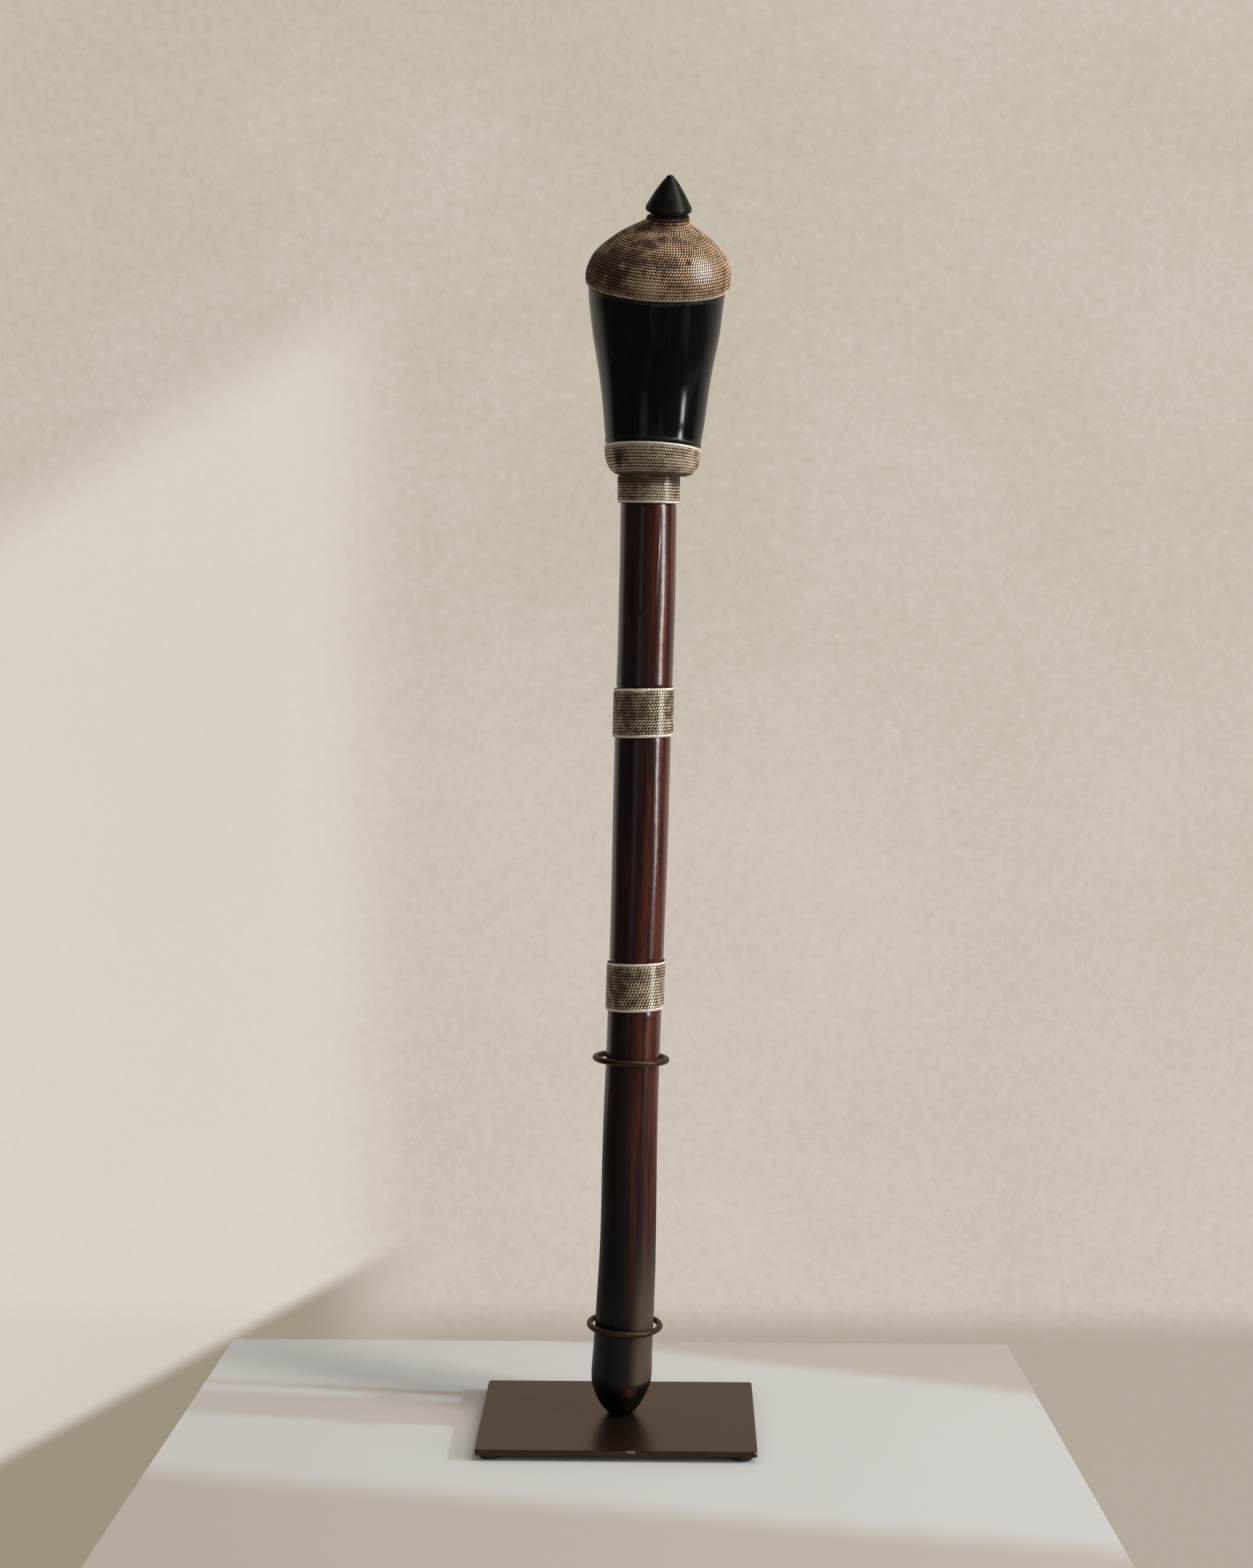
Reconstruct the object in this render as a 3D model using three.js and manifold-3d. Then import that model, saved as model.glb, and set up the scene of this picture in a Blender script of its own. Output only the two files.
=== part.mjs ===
// A carved wooden staff, bound with wire, standing in a blackened steel display stand.
//
// Units are millimetres. +Z is up, +X is to the right and the viewer stands at -Y. The origin is
// under the middle of the base plate, on the surface that the stand's feet rest on.

import * as THREE from 'three';
import { mergeVertices } from 'three/addons/utils/BufferGeometryUtils.js';
import Module from 'manifold-3d';

const wasm = await Module();
wasm.setup();

// Driving dimensions of the stand

const FIT_GAP = 0.3; // left between two pieces that touch
const REST_GAP = 0.05; // left between two level faces that rest on each other

const PLATE = { width: 152, depth: 101, thickness: 3.2, corner: 1.2, bevel: 0.4 };
const FOOT = { radius: 6.5, height: 3.2, inset: 7.9, edge: 0.6 };
const POST = { radius: 3.5, x: 5.4, y: 34, top: 214, bevel: 0.4, crown: 1.6 };

// The countersunk screw that holds the post. sunk is how deep its head lies in the plate.
const SCREW = { radius: 2, length: 16, sunk: 0.1 };
const SCREW_HEAD = { radius: 3.8, edge: 0.3, depth: 2.3 };
const SCREW_KEY = { radius: 1.45, depth: 1.5 };

// The rings are bent from one rod size. lift and roll are how far a ring's front is tipped up
// and its right side down, in degrees.
const ROD_RADIUS = 1.65;
const RING_BORE = 17.9;
const TANG_END = 0.4; // from the end of a ring's tang to the far side of the post
const LOWER_RING = { centre: [3.55, 5.3, 56.8], lift: 2.5, roll: 2 };
const UPPER_RING = { centre: [7.0, 9.1, 207.2], lift: 4.5, roll: 2 };

const PLATE_TOP = FOOT.height + PLATE.thickness;

// Driving dimensions of the staff

// The shaft's centre line: height, then its place to the right and to the back.
const SHAFT_LINE = [
  [6, 1.1, 4.0],
  [30, 1.9, 4.6],
  [60, 3.5, 5.4],
  [100, 5.3, 6.4],
  [160, 6.5, 7.9],
  [207, 7.9, 9.1],
  [300, 11.2, 11.4],
  [400, 13.6, 13.8],
  [460, 15.5, 15.3],
  [530, 16.4, 17.0],
];

// The shaft's outline: height, then radius. It swells towards its blunt, ogival foot.
const SHAFT_OUTLINE = [
  [6.45, 6.2],
  [8.5, 8.3],
  [12, 11.1],
  [16, 13.4],
  [20, 15.1],
  [24, 16.4],
  [27, 16.8],
  [45, 16.5],
  [80, 16.0],
  [107, 15.5],
  [150, 15.2],
  [220, 14.8],
  [275, 14.95],
  [320, 15.3],
  [420, 15.3],
  [465, 15.4],
  [524, 15.25],
];
const SHAFT_TOP = 525.2;
const TENON = { radius: 9, top: 570, bevel: 1 };
const SOCKET = { clearance: 0.6, room: 2 }; // round the tenon, and past its end

// The head's centre line: height, place to the right and to the back, then how far its
// sections lean towards the viewer and to the right, in degrees.
const HEAD_LINE = [
  [525.5, 18.5, 17.0, 0, 1],
  [531, 18.3, 17.2, -3.5, 2.5],
  [539, 18.4, 17.4, -6, 3.4],
  [555, 19.2, 17.6, -2, 2.2],
  [578, 19.7, 16.7, 5, 1],
  [600, 20.1, 13.5, 12, 2],
  [624, 20.6, 7.2, 18, 4],
  [640, 23.3, 1.8, 19, 4.4],
  [653, 25.4, -2.8, 20, 4.4],
  [662, 26.8, -6.1, 21, 3],
];

// The bare, black part of the head between the two windings: height, then radius.
const HEAD_OUTLINE = [
  [542, 25.8],
  [554, 27.0],
  [566, 28.3],
  [577, 29.7],
  [588, 31.6],
  [599.5, 33.6],
  [611, 35.1],
  [620, 36.0],
  [625, 36.2],
];
const HEAD_BEVEL = 0.9;
const HEAD_STUB = 1.2; // how far the head's wood rises above the seat of the last turn
const PEG = { radius: 5, depth: 22, room: 2, bevel: 0.6 };

// The wound surfaces, as the path that the middle of the wire follows: height, then radius.
const COLLAR_PATH = [
  [526.5, 18.2],
  [527.5, 20.8],
  [530, 23.3],
  [534.5, 24.9],
  [540.7, 25.6],
];
const CAP_PATH = [
  [625.5, 37.2],
  [630, 37.7],
  [635, 36.8],
  [639.5, 34.5],
  [644, 30.0],
  [648.5, 24.5],
  [652.6, 18.0],
  [655.3, 13.4],
  [656.7, 11.3],
  [658.6, 10.55],
];

// The bands on the shaft. standOut is from the shaft's outline to the middle of the wire, and
// rise is how steeply the rows climb towards the right and the back.
const NECK = { bottom: 511.1, top: 523.7, standOut: 1.0, rise: [-0.04, 0] };
const UPPER_BAND = { bottom: 385.2, top: 411.8, standOut: 0.55, rise: [0, -0.03] };
const LOWER_BAND = { bottom: 235.2, top: 261.8, standOut: 0.55, rise: [0, -0.06] };

const WIRE_RADIUS = 0.7;
const WIRE_HOLE = WIRE_RADIUS + 0.4; // the radius of the holes that a wire's two ends go into
const CAP_TURNS = { loops: 23, steps: 20 };
const COLLAR_TURNS = { loops: 8, steps: 16 };
const NECK_TURNS = { loops: 6, steps: 14 };
const BAND_TURNS = { loops: 14, steps: 13 };

// The finial's outline, from its stem to its tip: radius, then height above the head.
const FINIAL_OUTLINE = [
  [9.6, 0],
  [9.5, 1.8],
  [10.1, 2.3],
  [11.7, 3.1],
  [12.1, 3.7],
  [12.0, 4.5],
  [9.9, 8.7],
  [7.0, 13.5],
  [3.9, 18.1],
  [1.5, 20.9],
  [0.9, 21.4],
];

// How finely the round pieces are made: their sides, the sections of the wood under the head's
// windings, and the height from one of the shaft's sections to the next, above its foot.
const SHAFT_SIDES = 28;
const HEAD_SIDES = 40;
const FINIAL_SIDES = 32;
const POST_SIDES = 28;
const HOLE_SIDES = 20;
const CAP_SEAT_RINGS = 19;
const COLLAR_SEAT_RINGS = 5;
const SHAFT_FOOT_TOP = 28;
const SHAFT_STEP = 24;

// Materials

const finish = (color, roughness, metalness) =>
  new THREE.MeshStandardMaterial({ color, roughness, metalness });

const redWood = finish(0x3a1712, 0.3, 0);
const blackWood = finish(0x0b0a0a, 0.15, 0);
const finialWood = finish(0x1b1917, 0.4, 0);
const copperWire = finish(0x8f7358, 0.4, 0.6);
const silverWire = finish(0x9a8d7b, 0.4, 0.7);
const blackSteel = finish(0x1c1b1a, 0.45, 0.2);
const rubber = finish(0x121212, 0.8, 0);
const screwSteel = finish(0x55565a, 0.35, 0.9);

// Tables and sections

// Makes a smooth function of height from the rows of a table.
function smooth(rows) {
  const heights = rows.map((row) => row[0]);
  const values = rows.flatMap((row) => row.slice(1));
  const interpolant = new THREE.CubicInterpolant(heights, values, rows[0].length - 1);
  return (height) => [...interpolant.evaluate(height)];
}

const shaftLine = smooth(SHAFT_LINE);
const shaftOutline = smooth(SHAFT_OUTLINE);
const headLine = smooth(HEAD_LINE);

// A section has a centre and three directions: to its right, to its back and along the staff.
function shaftSection(height) {
  const [x, y] = shaftLine(height);
  return {
    centre: new THREE.Vector3(x, y, height),
    right: new THREE.Vector3(1, 0, 0),
    back: new THREE.Vector3(0, 1, 0),
    along: new THREE.Vector3(0, 0, 1),
  };
}

function headSection(height) {
  const [x, y, nod, roll] = headLine(height);
  const slope = (degrees) => Math.tan(THREE.MathUtils.degToRad(degrees));
  const along = new THREE.Vector3(slope(roll), -slope(nod), 1).normalize();
  const right = new THREE.Vector3(1, 0, 0).addScaledVector(along, -along.x).normalize();
  const back = new THREE.Vector3().crossVectors(along, right);
  return { centre: new THREE.Vector3(x, y, height), right, back, along };
}

// The point of a section at a radius and an angle, counted from its right towards its back.
function onSection(section, radius, angle) {
  return section.centre
    .clone()
    .addScaledVector(section.right, radius * Math.cos(angle))
    .addScaledVector(section.back, radius * Math.sin(angle));
}

function ring(section, radius, sides) {
  const angles = Array.from({ length: sides }, (_, side) => (side * 2 * Math.PI) / sides);
  return angles.map((angle) => onSection(section, radius, angle));
}

// Solids

// Joins rings of points, which turn anticlockwise about the way that they advance, and closes
// both ends.
function loft(rings) {
  const sides = rings[0].length;
  const lastRing = (rings.length - 1) * sides;
  const faces = [];
  for (let start = 0; start < lastRing; start += sides) {
    for (let side = 0; side < sides; side += 1) {
      const a = start + side;
      const b = start + ((side + 1) % sides);
      faces.push(a, b, b + sides, a, b + sides, a + sides);
    }
  }
  for (let side = 1; side + 1 < sides; side += 1) {
    faces.push(0, side + 1, side, lastRing, lastRing + side, lastRing + side + 1);
  }
  const geometry = new THREE.BufferGeometry();
  const positions = rings.flat().flatMap((point) => point.toArray());
  geometry.setAttribute('position', new THREE.Float32BufferAttribute(positions, 3));
  geometry.setIndex(faces);
  return geometry;
}

function toSolid(geometry) {
  const bare = geometry.clone();
  bare.deleteAttribute('normal');
  bare.deleteAttribute('uv');
  const merged = mergeVertices(bare, 1e-4);
  return new wasm.Manifold(
    new wasm.Mesh({
      numProp: 3,
      vertProperties: new Float32Array(merged.attributes.position.array),
      triVerts: new Uint32Array(merged.index.array),
    }),
  );
}

function toGeometry(solid) {
  const { vertProperties, triVerts } = solid.getMesh();
  const geometry = new THREE.BufferGeometry();
  geometry.setAttribute('position', new THREE.BufferAttribute(vertProperties, 3));
  geometry.setIndex(new THREE.BufferAttribute(triVerts, 1));
  return geometry;
}

function cut(geometry, cutters) {
  let solid = toSolid(geometry);
  for (const cutter of cutters) {
    solid = solid.subtract(toSolid(cutter));
  }
  return toGeometry(solid);
}

function join(first, second) {
  return toGeometry(toSolid(first).add(toSolid(second)));
}

// A revolved solid about +Z, from its outline of radius and height.
function revolve(outline, segments) {
  const points = outline.map(([radius, height]) => new THREE.Vector2(radius, height));
  return new THREE.LatheGeometry(points, segments).rotateX(Math.PI / 2);
}

// A straight round bar between two points.
function bar(from, to, radius, sides) {
  const way = new THREE.Vector3().subVectors(to, from);
  const turn = new THREE.Quaternion().setFromUnitVectors(
    new THREE.Vector3(0, 1, 0),
    way.clone().normalize(),
  );
  const geometry = new THREE.CylinderGeometry(radius, radius, way.length(), sides);
  geometry.applyQuaternion(turn);
  return geometry.translate(...from.clone().lerp(to, 0.5).toArray());
}

function piece(name, geometry, material) {
  const mesh = new THREE.Mesh(geometry, material);
  mesh.name = name;
  return mesh;
}

// Windings

// Winds one wire along a surface. middle(share, angle) is the wire's middle at a share of the
// way along the winding and an angle round it. The wire has a diamond section. Both of its ends
// turn into the wood, square to it, and run straight for one wire's thickness.
function wind(middle, { loops, steps }) {
  const total = loops * steps;
  const depth = 3 * WIRE_RADIUS + FIT_GAP;
  const small = 1e-3;
  const stations = [];
  for (let step = 0; step <= total; step += 1) {
    const share = step / total;
    const angle = (step * 2 * Math.PI) / steps;
    const centre = middle(share, angle);
    const travel = middle(share, angle + small).sub(middle(share, angle - small)).normalize();
    const across = middle(Math.min(share + small, 1), angle)
      .sub(middle(Math.max(share - small, 0), angle))
      .normalize();
    const side = across.addScaledVector(travel, -across.dot(travel)).normalize().negate();
    const out = new THREE.Vector3().crossVectors(side, travel);
    stations.push({ centre, travel, side, out });
  }
  const diamond = (centre, out, side) =>
    [out, side, out.clone().negate(), side.clone().negate()].map((way) =>
      centre.clone().addScaledVector(way, WIRE_RADIUS),
    );
  const inward = (station) => station.centre.clone().addScaledVector(station.out, -depth);
  const first = stations[0];
  const last = stations[total];
  const rings = [
    diamond(inward(first), first.travel.clone().negate(), first.side),
    diamond(first.centre, first.out.clone().sub(first.travel), first.side),
    ...stations.slice(1, total).map(({ centre, out, side }) => diamond(centre, out, side)),
    diamond(last.centre, last.out.clone().add(last.travel), last.side),
    diamond(inward(last), last.travel, last.side),
  ];
  const holes = [first, last].map((station) =>
    bar(
      station.centre.clone().addScaledVector(station.out, -depth - FIT_GAP),
      station.centre.clone().addScaledVector(station.out, WIRE_RADIUS),
      WIRE_HOLE,
      8,
    ),
  );
  return { geometry: loft(rings), holes, gap: leastGap(stations, steps) };
}

// The least distance between points of the wire half a loop or more apart, less its thickness.
function leastGap(stations, steps) {
  let least = Infinity;
  for (let i = 0; i < stations.length; i += 1) {
    for (let j = i + Math.ceil(steps / 2); j < stations.length; j += 1) {
      least = Math.min(least, stations[i].centre.distanceTo(stations[j].centre));
    }
  }
  return least - 2 * WIRE_RADIUS;
}

// A winding on the shaft.
function windShaft({ bottom, top, standOut, rise }, turns) {
  const middle = (share, angle) => {
    const height = bottom + share * (top - bottom);
    const radius = shaftOutline(height)[0] + standOut;
    const askew = radius * (rise[0] * Math.cos(angle) + rise[1] * Math.sin(angle));
    return onSection(shaftSection(height + askew), radius, angle);
  };
  return wind(middle, turns);
}

// A winding on the head, along a path of height and radius that is shared out evenly.
function windHead(path, turns) {
  const middle = (share, angle) => {
    const { x: height, y: radius } = path.getPointAt(share);
    return onSection(headSection(height), radius, angle);
  };
  return wind(middle, turns);
}

function pathCurve(rows) {
  return new THREE.SplineCurve(rows.map(([height, radius]) => new THREE.Vector2(height, radius)));
}

// How far the wood lies under the middle of a wire that is wound in straight steps.
function seatDepth(radius, steps) {
  return WIRE_RADIUS + FIT_GAP + radius * (1 - Math.cos(Math.PI / steps));
}

const capCurve = pathCurve(CAP_PATH);
const collarCurve = pathCurve(COLLAR_PATH);
const windings = {
  cap: windHead(capCurve, CAP_TURNS),
  collar: windHead(collarCurve, COLLAR_TURNS),
  neck: windShaft(NECK, NECK_TURNS),
  upperBand: windShaft(UPPER_BAND, BAND_TURNS),
  lowerBand: windShaft(LOWER_BAND, BAND_TURNS),
};
for (const [name, { gap }] of Object.entries(windings)) {
  console.log(`${name} winding: least gap between its turns ${gap.toFixed(2)} mm`);
}

// Shaft

const SEAT_SLOPE = 0.3; // the height over which a winding's seat reaches its depth
const SHOULDER = 0.01; // the tenon starts this far above the shoulder, which is nearly level

// The shaft is turned down a little under each winding, and to a tenon inside the head.
function makeShaft() {
  const seats = [
    { ...LOWER_BAND, steps: BAND_TURNS.steps },
    { ...UPPER_BAND, steps: BAND_TURNS.steps },
    { ...NECK, steps: NECK_TURNS.steps },
  ].map(({ bottom, top, standOut, rise, steps }) => {
    const margin = 2 * WIRE_RADIUS + shaftOutline(bottom)[0] * Math.hypot(...rise);
    return { bottom: bottom - margin, top: Math.min(top + margin, SHAFT_TOP), standOut, steps };
  });
  const inSeat = (height) => seats.some((seat) => height > seat.bottom && height < seat.top);
  const profile = SHAFT_OUTLINE.filter(([height]) => height < SHAFT_FOOT_TOP);
  for (let height = SHAFT_FOOT_TOP + 2; height < SHAFT_TOP; height += SHAFT_STEP) {
    if (!inSeat(height)) {
      profile.push([height, shaftOutline(height)[0]]);
    }
  }
  for (const { bottom, top, standOut, steps } of seats) {
    const outer = (height) => shaftOutline(height)[0];
    const inner = (height) => {
      const middle = outer(height) + standOut;
      return middle - seatDepth(middle, steps);
    };
    profile.push([bottom, outer(bottom)], [bottom + SEAT_SLOPE, inner(bottom)]);
    if (top < SHAFT_TOP) {
      profile.push([top - SEAT_SLOPE, inner(top)], [top, outer(top)]);
    } else {
      profile.push([SHAFT_TOP, inner(top)]);
    }
  }
  profile.sort((a, b) => a[0] - b[0]);
  profile.push(
    [SHAFT_TOP + SHOULDER, TENON.radius],
    [TENON.top - TENON.bevel, TENON.radius],
    [TENON.top, TENON.radius - TENON.bevel],
  );
  const rings = profile.map(([height, radius]) => ring(shaftSection(height), radius, SHAFT_SIDES));
  const { neck, upperBand, lowerBand } = windings;
  return cut(loft(rings), [...neck.holes, ...upperBand.holes, ...lowerBand.holes]);
}

// Head

// Points of the wood under a wound path, from its start to its end.
function seatUnder(curve, steps, count) {
  return Array.from({ length: count + 1 }, (_, index) => {
    const point = curve.getPointAt(index / count);
    const way = curve.getTangentAt(index / count);
    const depth = seatDepth(point.y, steps);
    return [point.x + depth * way.y, point.y - depth * way.x];
  });
}

const capSeat = seatUnder(capCurve, CAP_TURNS.steps, CAP_SEAT_RINGS);
const lastSeat = capSeat[capSeat.length - 1];
const headTop = lastSeat[0] + HEAD_STUB;

function makeHead() {
  const headFoot = HEAD_LINE[0][0];
  const collarSeat = seatUnder(collarCurve, COLLAR_TURNS.steps, COLLAR_SEAT_RINGS).filter(
    ([height]) => height > headFoot + HEAD_BEVEL / 2,
  );
  const profile = [
    [headFoot, collarSeat[0][1] - HEAD_BEVEL],
    ...collarSeat,
    ...HEAD_OUTLINE,
    ...capSeat.filter(([height]) => height > HEAD_OUTLINE[HEAD_OUTLINE.length - 1][0]),
    [headTop, lastSeat[1]],
  ];
  const rings = profile.map(([height, radius]) => ring(headSection(height), radius, HEAD_SIDES));
  const [x, y] = shaftLine(TENON.top);
  const socketFoot = new THREE.Vector3(...shaftLine(SHAFT_TOP), headFoot - SOCKET.room);
  const socketTop = new THREE.Vector3(x, y, TENON.top + SOCKET.room);
  const socket = bar(socketFoot, socketTop, TENON.radius + SOCKET.clearance, HEAD_SIDES);
  const { centre, along } = headSection(headTop);
  const pegHole = bar(
    centre.clone().addScaledVector(along, -PEG.depth - PEG.room),
    centre.clone().addScaledVector(along, PEG.room),
    PEG.radius + FIT_GAP,
    HOLE_SIDES,
  );
  return cut(loft(rings), [socket, pegHole, ...windings.cap.holes, ...windings.collar.holes]);
}

// Finial

// A cone on a short stem, pegged into the top of the head.
function makeFinial() {
  const geometry = revolve(
    [
      [0, -PEG.depth],
      [PEG.radius - PEG.bevel, -PEG.depth],
      [PEG.radius, -PEG.depth + PEG.bevel],
      [PEG.radius, 0],
      ...FINIAL_OUTLINE,
      [0, FINIAL_OUTLINE[FINIAL_OUTLINE.length - 1][1]],
    ],
    FINIAL_SIDES,
  );
  const mesh = piece('finial', geometry, finialWood);
  const { centre, right, back, along } = headSection(headTop);
  mesh.quaternion.setFromRotationMatrix(new THREE.Matrix4().makeBasis(right, back, along));
  mesh.position.copy(centre).addScaledVector(along, FIT_GAP);
  return mesh;
}

// Stand

function makeBasePlate() {
  const { width, depth, thickness, corner, bevel } = PLATE;
  const x = width / 2 - bevel;
  const y = depth / 2 - bevel;
  const shape = new THREE.Shape();
  shape.absarc(x - corner, y - corner, corner, 0, Math.PI / 2);
  shape.absarc(corner - x, y - corner, corner, Math.PI / 2, Math.PI);
  shape.absarc(corner - x, corner - y, corner, Math.PI, 1.5 * Math.PI);
  shape.absarc(x - corner, corner - y, corner, 1.5 * Math.PI, 2 * Math.PI);
  const slab = new THREE.ExtrudeGeometry(shape, {
    depth: thickness - 2 * bevel,
    bevelThickness: bevel,
    bevelSize: bevel,
    bevelSegments: 2,
    curveSegments: 4,
  });
  slab.translate(0, 0, FOOT.height + bevel);
  const screwHole = revolve(screwOutline(FIT_GAP, 2 * thickness), HOLE_SIDES);
  screwHole.translate(POST.x, POST.y, FOOT.height);
  return piece('base_plate', cut(slab, [screwHole]), blackSteel);
}

// The outline of the countersunk screw, or of its hole where it is given some clearance.
function screwOutline(clearance, length) {
  const wide = SCREW_HEAD.radius + clearance;
  const narrow = SCREW.radius + clearance;
  return [
    [0, -2 * clearance],
    [wide, -2 * clearance],
    [wide, SCREW_HEAD.edge],
    [narrow, SCREW_HEAD.depth],
    [narrow, length],
    [0, length],
  ];
}

// A countersunk screw that holds the post from under the plate, with a hexagon socket.
function makeScrew() {
  const { radius, depth } = SCREW_KEY;
  const blank = revolve(screwOutline(0, SCREW.length), HOLE_SIDES);
  const key = new THREE.CylinderGeometry(radius, radius, 2 * depth, 6).rotateX(Math.PI / 2);
  const mesh = piece('post_screw', cut(blank, [key]), screwSteel);
  mesh.position.set(POST.x, POST.y, FOOT.height + SCREW.sunk);
  return mesh;
}

function makeFeet() {
  const { radius, height, inset, edge } = FOOT;
  const outline = [
    [0, 0],
    [radius - 2 * edge, 0],
    [radius - edge, edge],
    [radius, height - REST_GAP],
    [0, height - REST_GAP],
  ];
  const x = PLATE.width / 2 - inset;
  const y = PLATE.depth / 2 - inset;
  const places = { front_left: [-x, -y], front_right: [x, -y], back_left: [-x, y], back_right: [x, y] };
  return Object.entries(places).map(([place, [across, deep]]) => {
    const mesh = piece(`${place}_foot`, revolve(outline, HOLE_SIDES), rubber);
    mesh.position.set(across, deep, 0);
    return mesh;
  });
}

// A ring's own frame has its middle at the origin, and its tang runs straight back to the post.
function ringMatrix({ centre, lift, roll }) {
  const [tip, lean] = [-lift, roll].map(THREE.MathUtils.degToRad);
  const turn = new THREE.Matrix4().makeRotationFromEuler(new THREE.Euler(tip, lean, 0));
  return turn.setPosition(...centre);
}

const ROD_LINE = RING_BORE + ROD_RADIUS;

function makeRing(name, place) {
  const hoop = new THREE.TorusGeometry(ROD_LINE, ROD_RADIUS, 8, 40);
  const tang = tangBar(place, ROD_RADIUS, POST.radius - TANG_END);
  return piece(name, join(hoop, tang).applyMatrix4(ringMatrix(place)), blackSteel);
}

// The tang from a ring's rod into the post, up to a distance past the post's axis.
function tangBar({ centre }, radius, past) {
  const x = POST.x - centre[0];
  const start = Math.sqrt(ROD_LINE ** 2 - x ** 2);
  const end = POST.y - centre[1] + past;
  return bar(new THREE.Vector3(x, start, 0), new THREE.Vector3(x, end, 0), radius, 16);
}

// The post is drilled across for the two tangs, and up from below for its screw.
function makePost() {
  const { radius, x, y, top, bevel, crown } = POST;
  const bottom = PLATE_TOP + REST_GAP;
  const crownMiddle = 0.3 * crown;
  const rod = revolve(
    [
      [0, bottom],
      [radius - bevel, bottom],
      [radius, bottom + bevel],
      [radius, top - crown],
      [radius - crownMiddle, top - crownMiddle],
      [radius - crown, top],
      [0, top],
    ],
    POST_SIDES,
  ).translate(x, y, 0);
  const drilled = new THREE.Vector3(x, y, FOOT.height + SCREW.length + 1);
  const screwHole = bar(new THREE.Vector3(x, y, 0), drilled, SCREW.radius + FIT_GAP, HOLE_SIDES);
  const crossHoles = [LOWER_RING, UPPER_RING].map((place) =>
    tangBar(place, ROD_RADIUS + FIT_GAP, 2 * radius).applyMatrix4(ringMatrix(place)),
  );
  return piece('post', cut(rod, [screwHole, ...crossHoles]), blackSteel);
}

// Assembly

const staff = new THREE.Group();
staff.add(
  piece('shaft', makeShaft(), redWood),
  piece('head', makeHead(), blackWood),
  makeFinial(),
  piece('cap_winding', windings.cap.geometry, copperWire),
  piece('collar_winding', windings.collar.geometry, silverWire),
  piece('neck_winding', windings.neck.geometry, silverWire),
  piece('upper_band', windings.upperBand.geometry, silverWire),
  piece('lower_band', windings.lowerBand.geometry, silverWire),
);

const stand = new THREE.Group();
stand.add(
  makeBasePlate(),
  makePost(),
  makeRing('lower_ring', LOWER_RING),
  makeRing('upper_ring', UPPER_RING),
  makeScrew(),
  ...makeFeet(),
);

const group = new THREE.Group();
group.add(stand, staff);

export default group;
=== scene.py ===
"""Dresses a wooden staff, bound with twisted wire, and the blackened steel stand that holds it.

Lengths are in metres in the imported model's own frame: +Z is up, +X is to the right and the
viewer stands at -Y. The tables and shapes are worked out in millimetres, which make_piece turns
into metres. Angles go round from the right towards the back, so -90 degrees is the front.
"""

import math

import bpy
import numpy as np
from mathutils import Matrix


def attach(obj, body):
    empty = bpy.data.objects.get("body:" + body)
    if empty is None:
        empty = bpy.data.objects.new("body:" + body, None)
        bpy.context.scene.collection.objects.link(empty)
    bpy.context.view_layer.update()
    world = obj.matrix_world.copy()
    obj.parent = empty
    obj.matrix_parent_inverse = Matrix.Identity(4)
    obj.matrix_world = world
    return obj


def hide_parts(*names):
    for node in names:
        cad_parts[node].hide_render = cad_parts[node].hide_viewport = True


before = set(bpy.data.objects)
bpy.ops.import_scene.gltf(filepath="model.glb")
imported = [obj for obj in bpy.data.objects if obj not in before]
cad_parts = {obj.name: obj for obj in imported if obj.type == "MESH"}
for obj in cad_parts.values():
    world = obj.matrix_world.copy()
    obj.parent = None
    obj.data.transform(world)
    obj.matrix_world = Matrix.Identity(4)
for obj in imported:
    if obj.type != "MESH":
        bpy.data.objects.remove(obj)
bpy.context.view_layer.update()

MM = 0.001
FULL_TURN = 2 * math.pi

# The staff's tables, in millimetres

# The shaft's centre line: height, then its place to the right and to the back.
SHAFT_LINE = [
    [6, 1.1, 4.0], [30, 1.9, 4.6], [60, 3.5, 5.4], [100, 5.3, 6.4], [160, 6.5, 7.9],
    [207, 7.9, 9.1], [300, 11.2, 11.4], [400, 13.6, 13.8], [460, 15.5, 15.3], [530, 16.4, 17.0],
]
# The shaft's outline: height, then radius.
SHAFT_OUTLINE = [
    [6.45, 6.2], [8.5, 8.3], [12, 11.1], [16, 13.4], [20, 15.1], [24, 16.4], [27, 16.8],
    [45, 16.5], [80, 16.0], [107, 15.5], [150, 15.2], [220, 14.8], [275, 14.95], [320, 15.3],
    [420, 15.3], [465, 15.4], [524, 15.25],
]
SHAFT_TOP = 525.2
# The head's centre line: height, place to the right and to the back, then how far its
# sections lean towards the viewer and to the right, in degrees.
HEAD_LINE = [
    [525.5, 18.5, 17.0, 0, 1], [531, 18.3, 17.2, -3.5, 2.5], [539, 18.4, 17.4, -6, 3.4],
    [555, 19.2, 17.6, -2, 2.2], [578, 19.7, 16.7, 5, 1], [600, 20.1, 13.5, 12, 2],
    [624, 20.6, 7.2, 18, 4], [640, 23.3, 1.8, 19, 4.4], [653, 25.4, -2.8, 20, 4.4],
    [662, 26.8, -6.1, 21, 3],
]
# The bare part of the head between its two windings: height, then radius.
HEAD_OUTLINE = [
    [542, 25.8], [554, 27.0], [566, 28.3], [577, 29.7], [588, 31.6], [599.5, 33.6], [611, 35.1],
    [620, 36.0], [625, 36.2],
]
# The paths that the middle of the wire follows on the head: height, then radius.
COLLAR_PATH = [[526.5, 18.2], [527.5, 20.8], [530, 23.3], [534.5, 24.9], [540.7, 25.6]]
CAP_PATH = [
    [625.5, 37.2], [630, 37.7], [635, 36.8], [639.5, 34.5], [644, 30.0], [648.5, 24.5],
    [652.6, 18.0], [655.3, 13.4], [656.7, 11.3], [658.6, 10.55],
]
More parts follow.
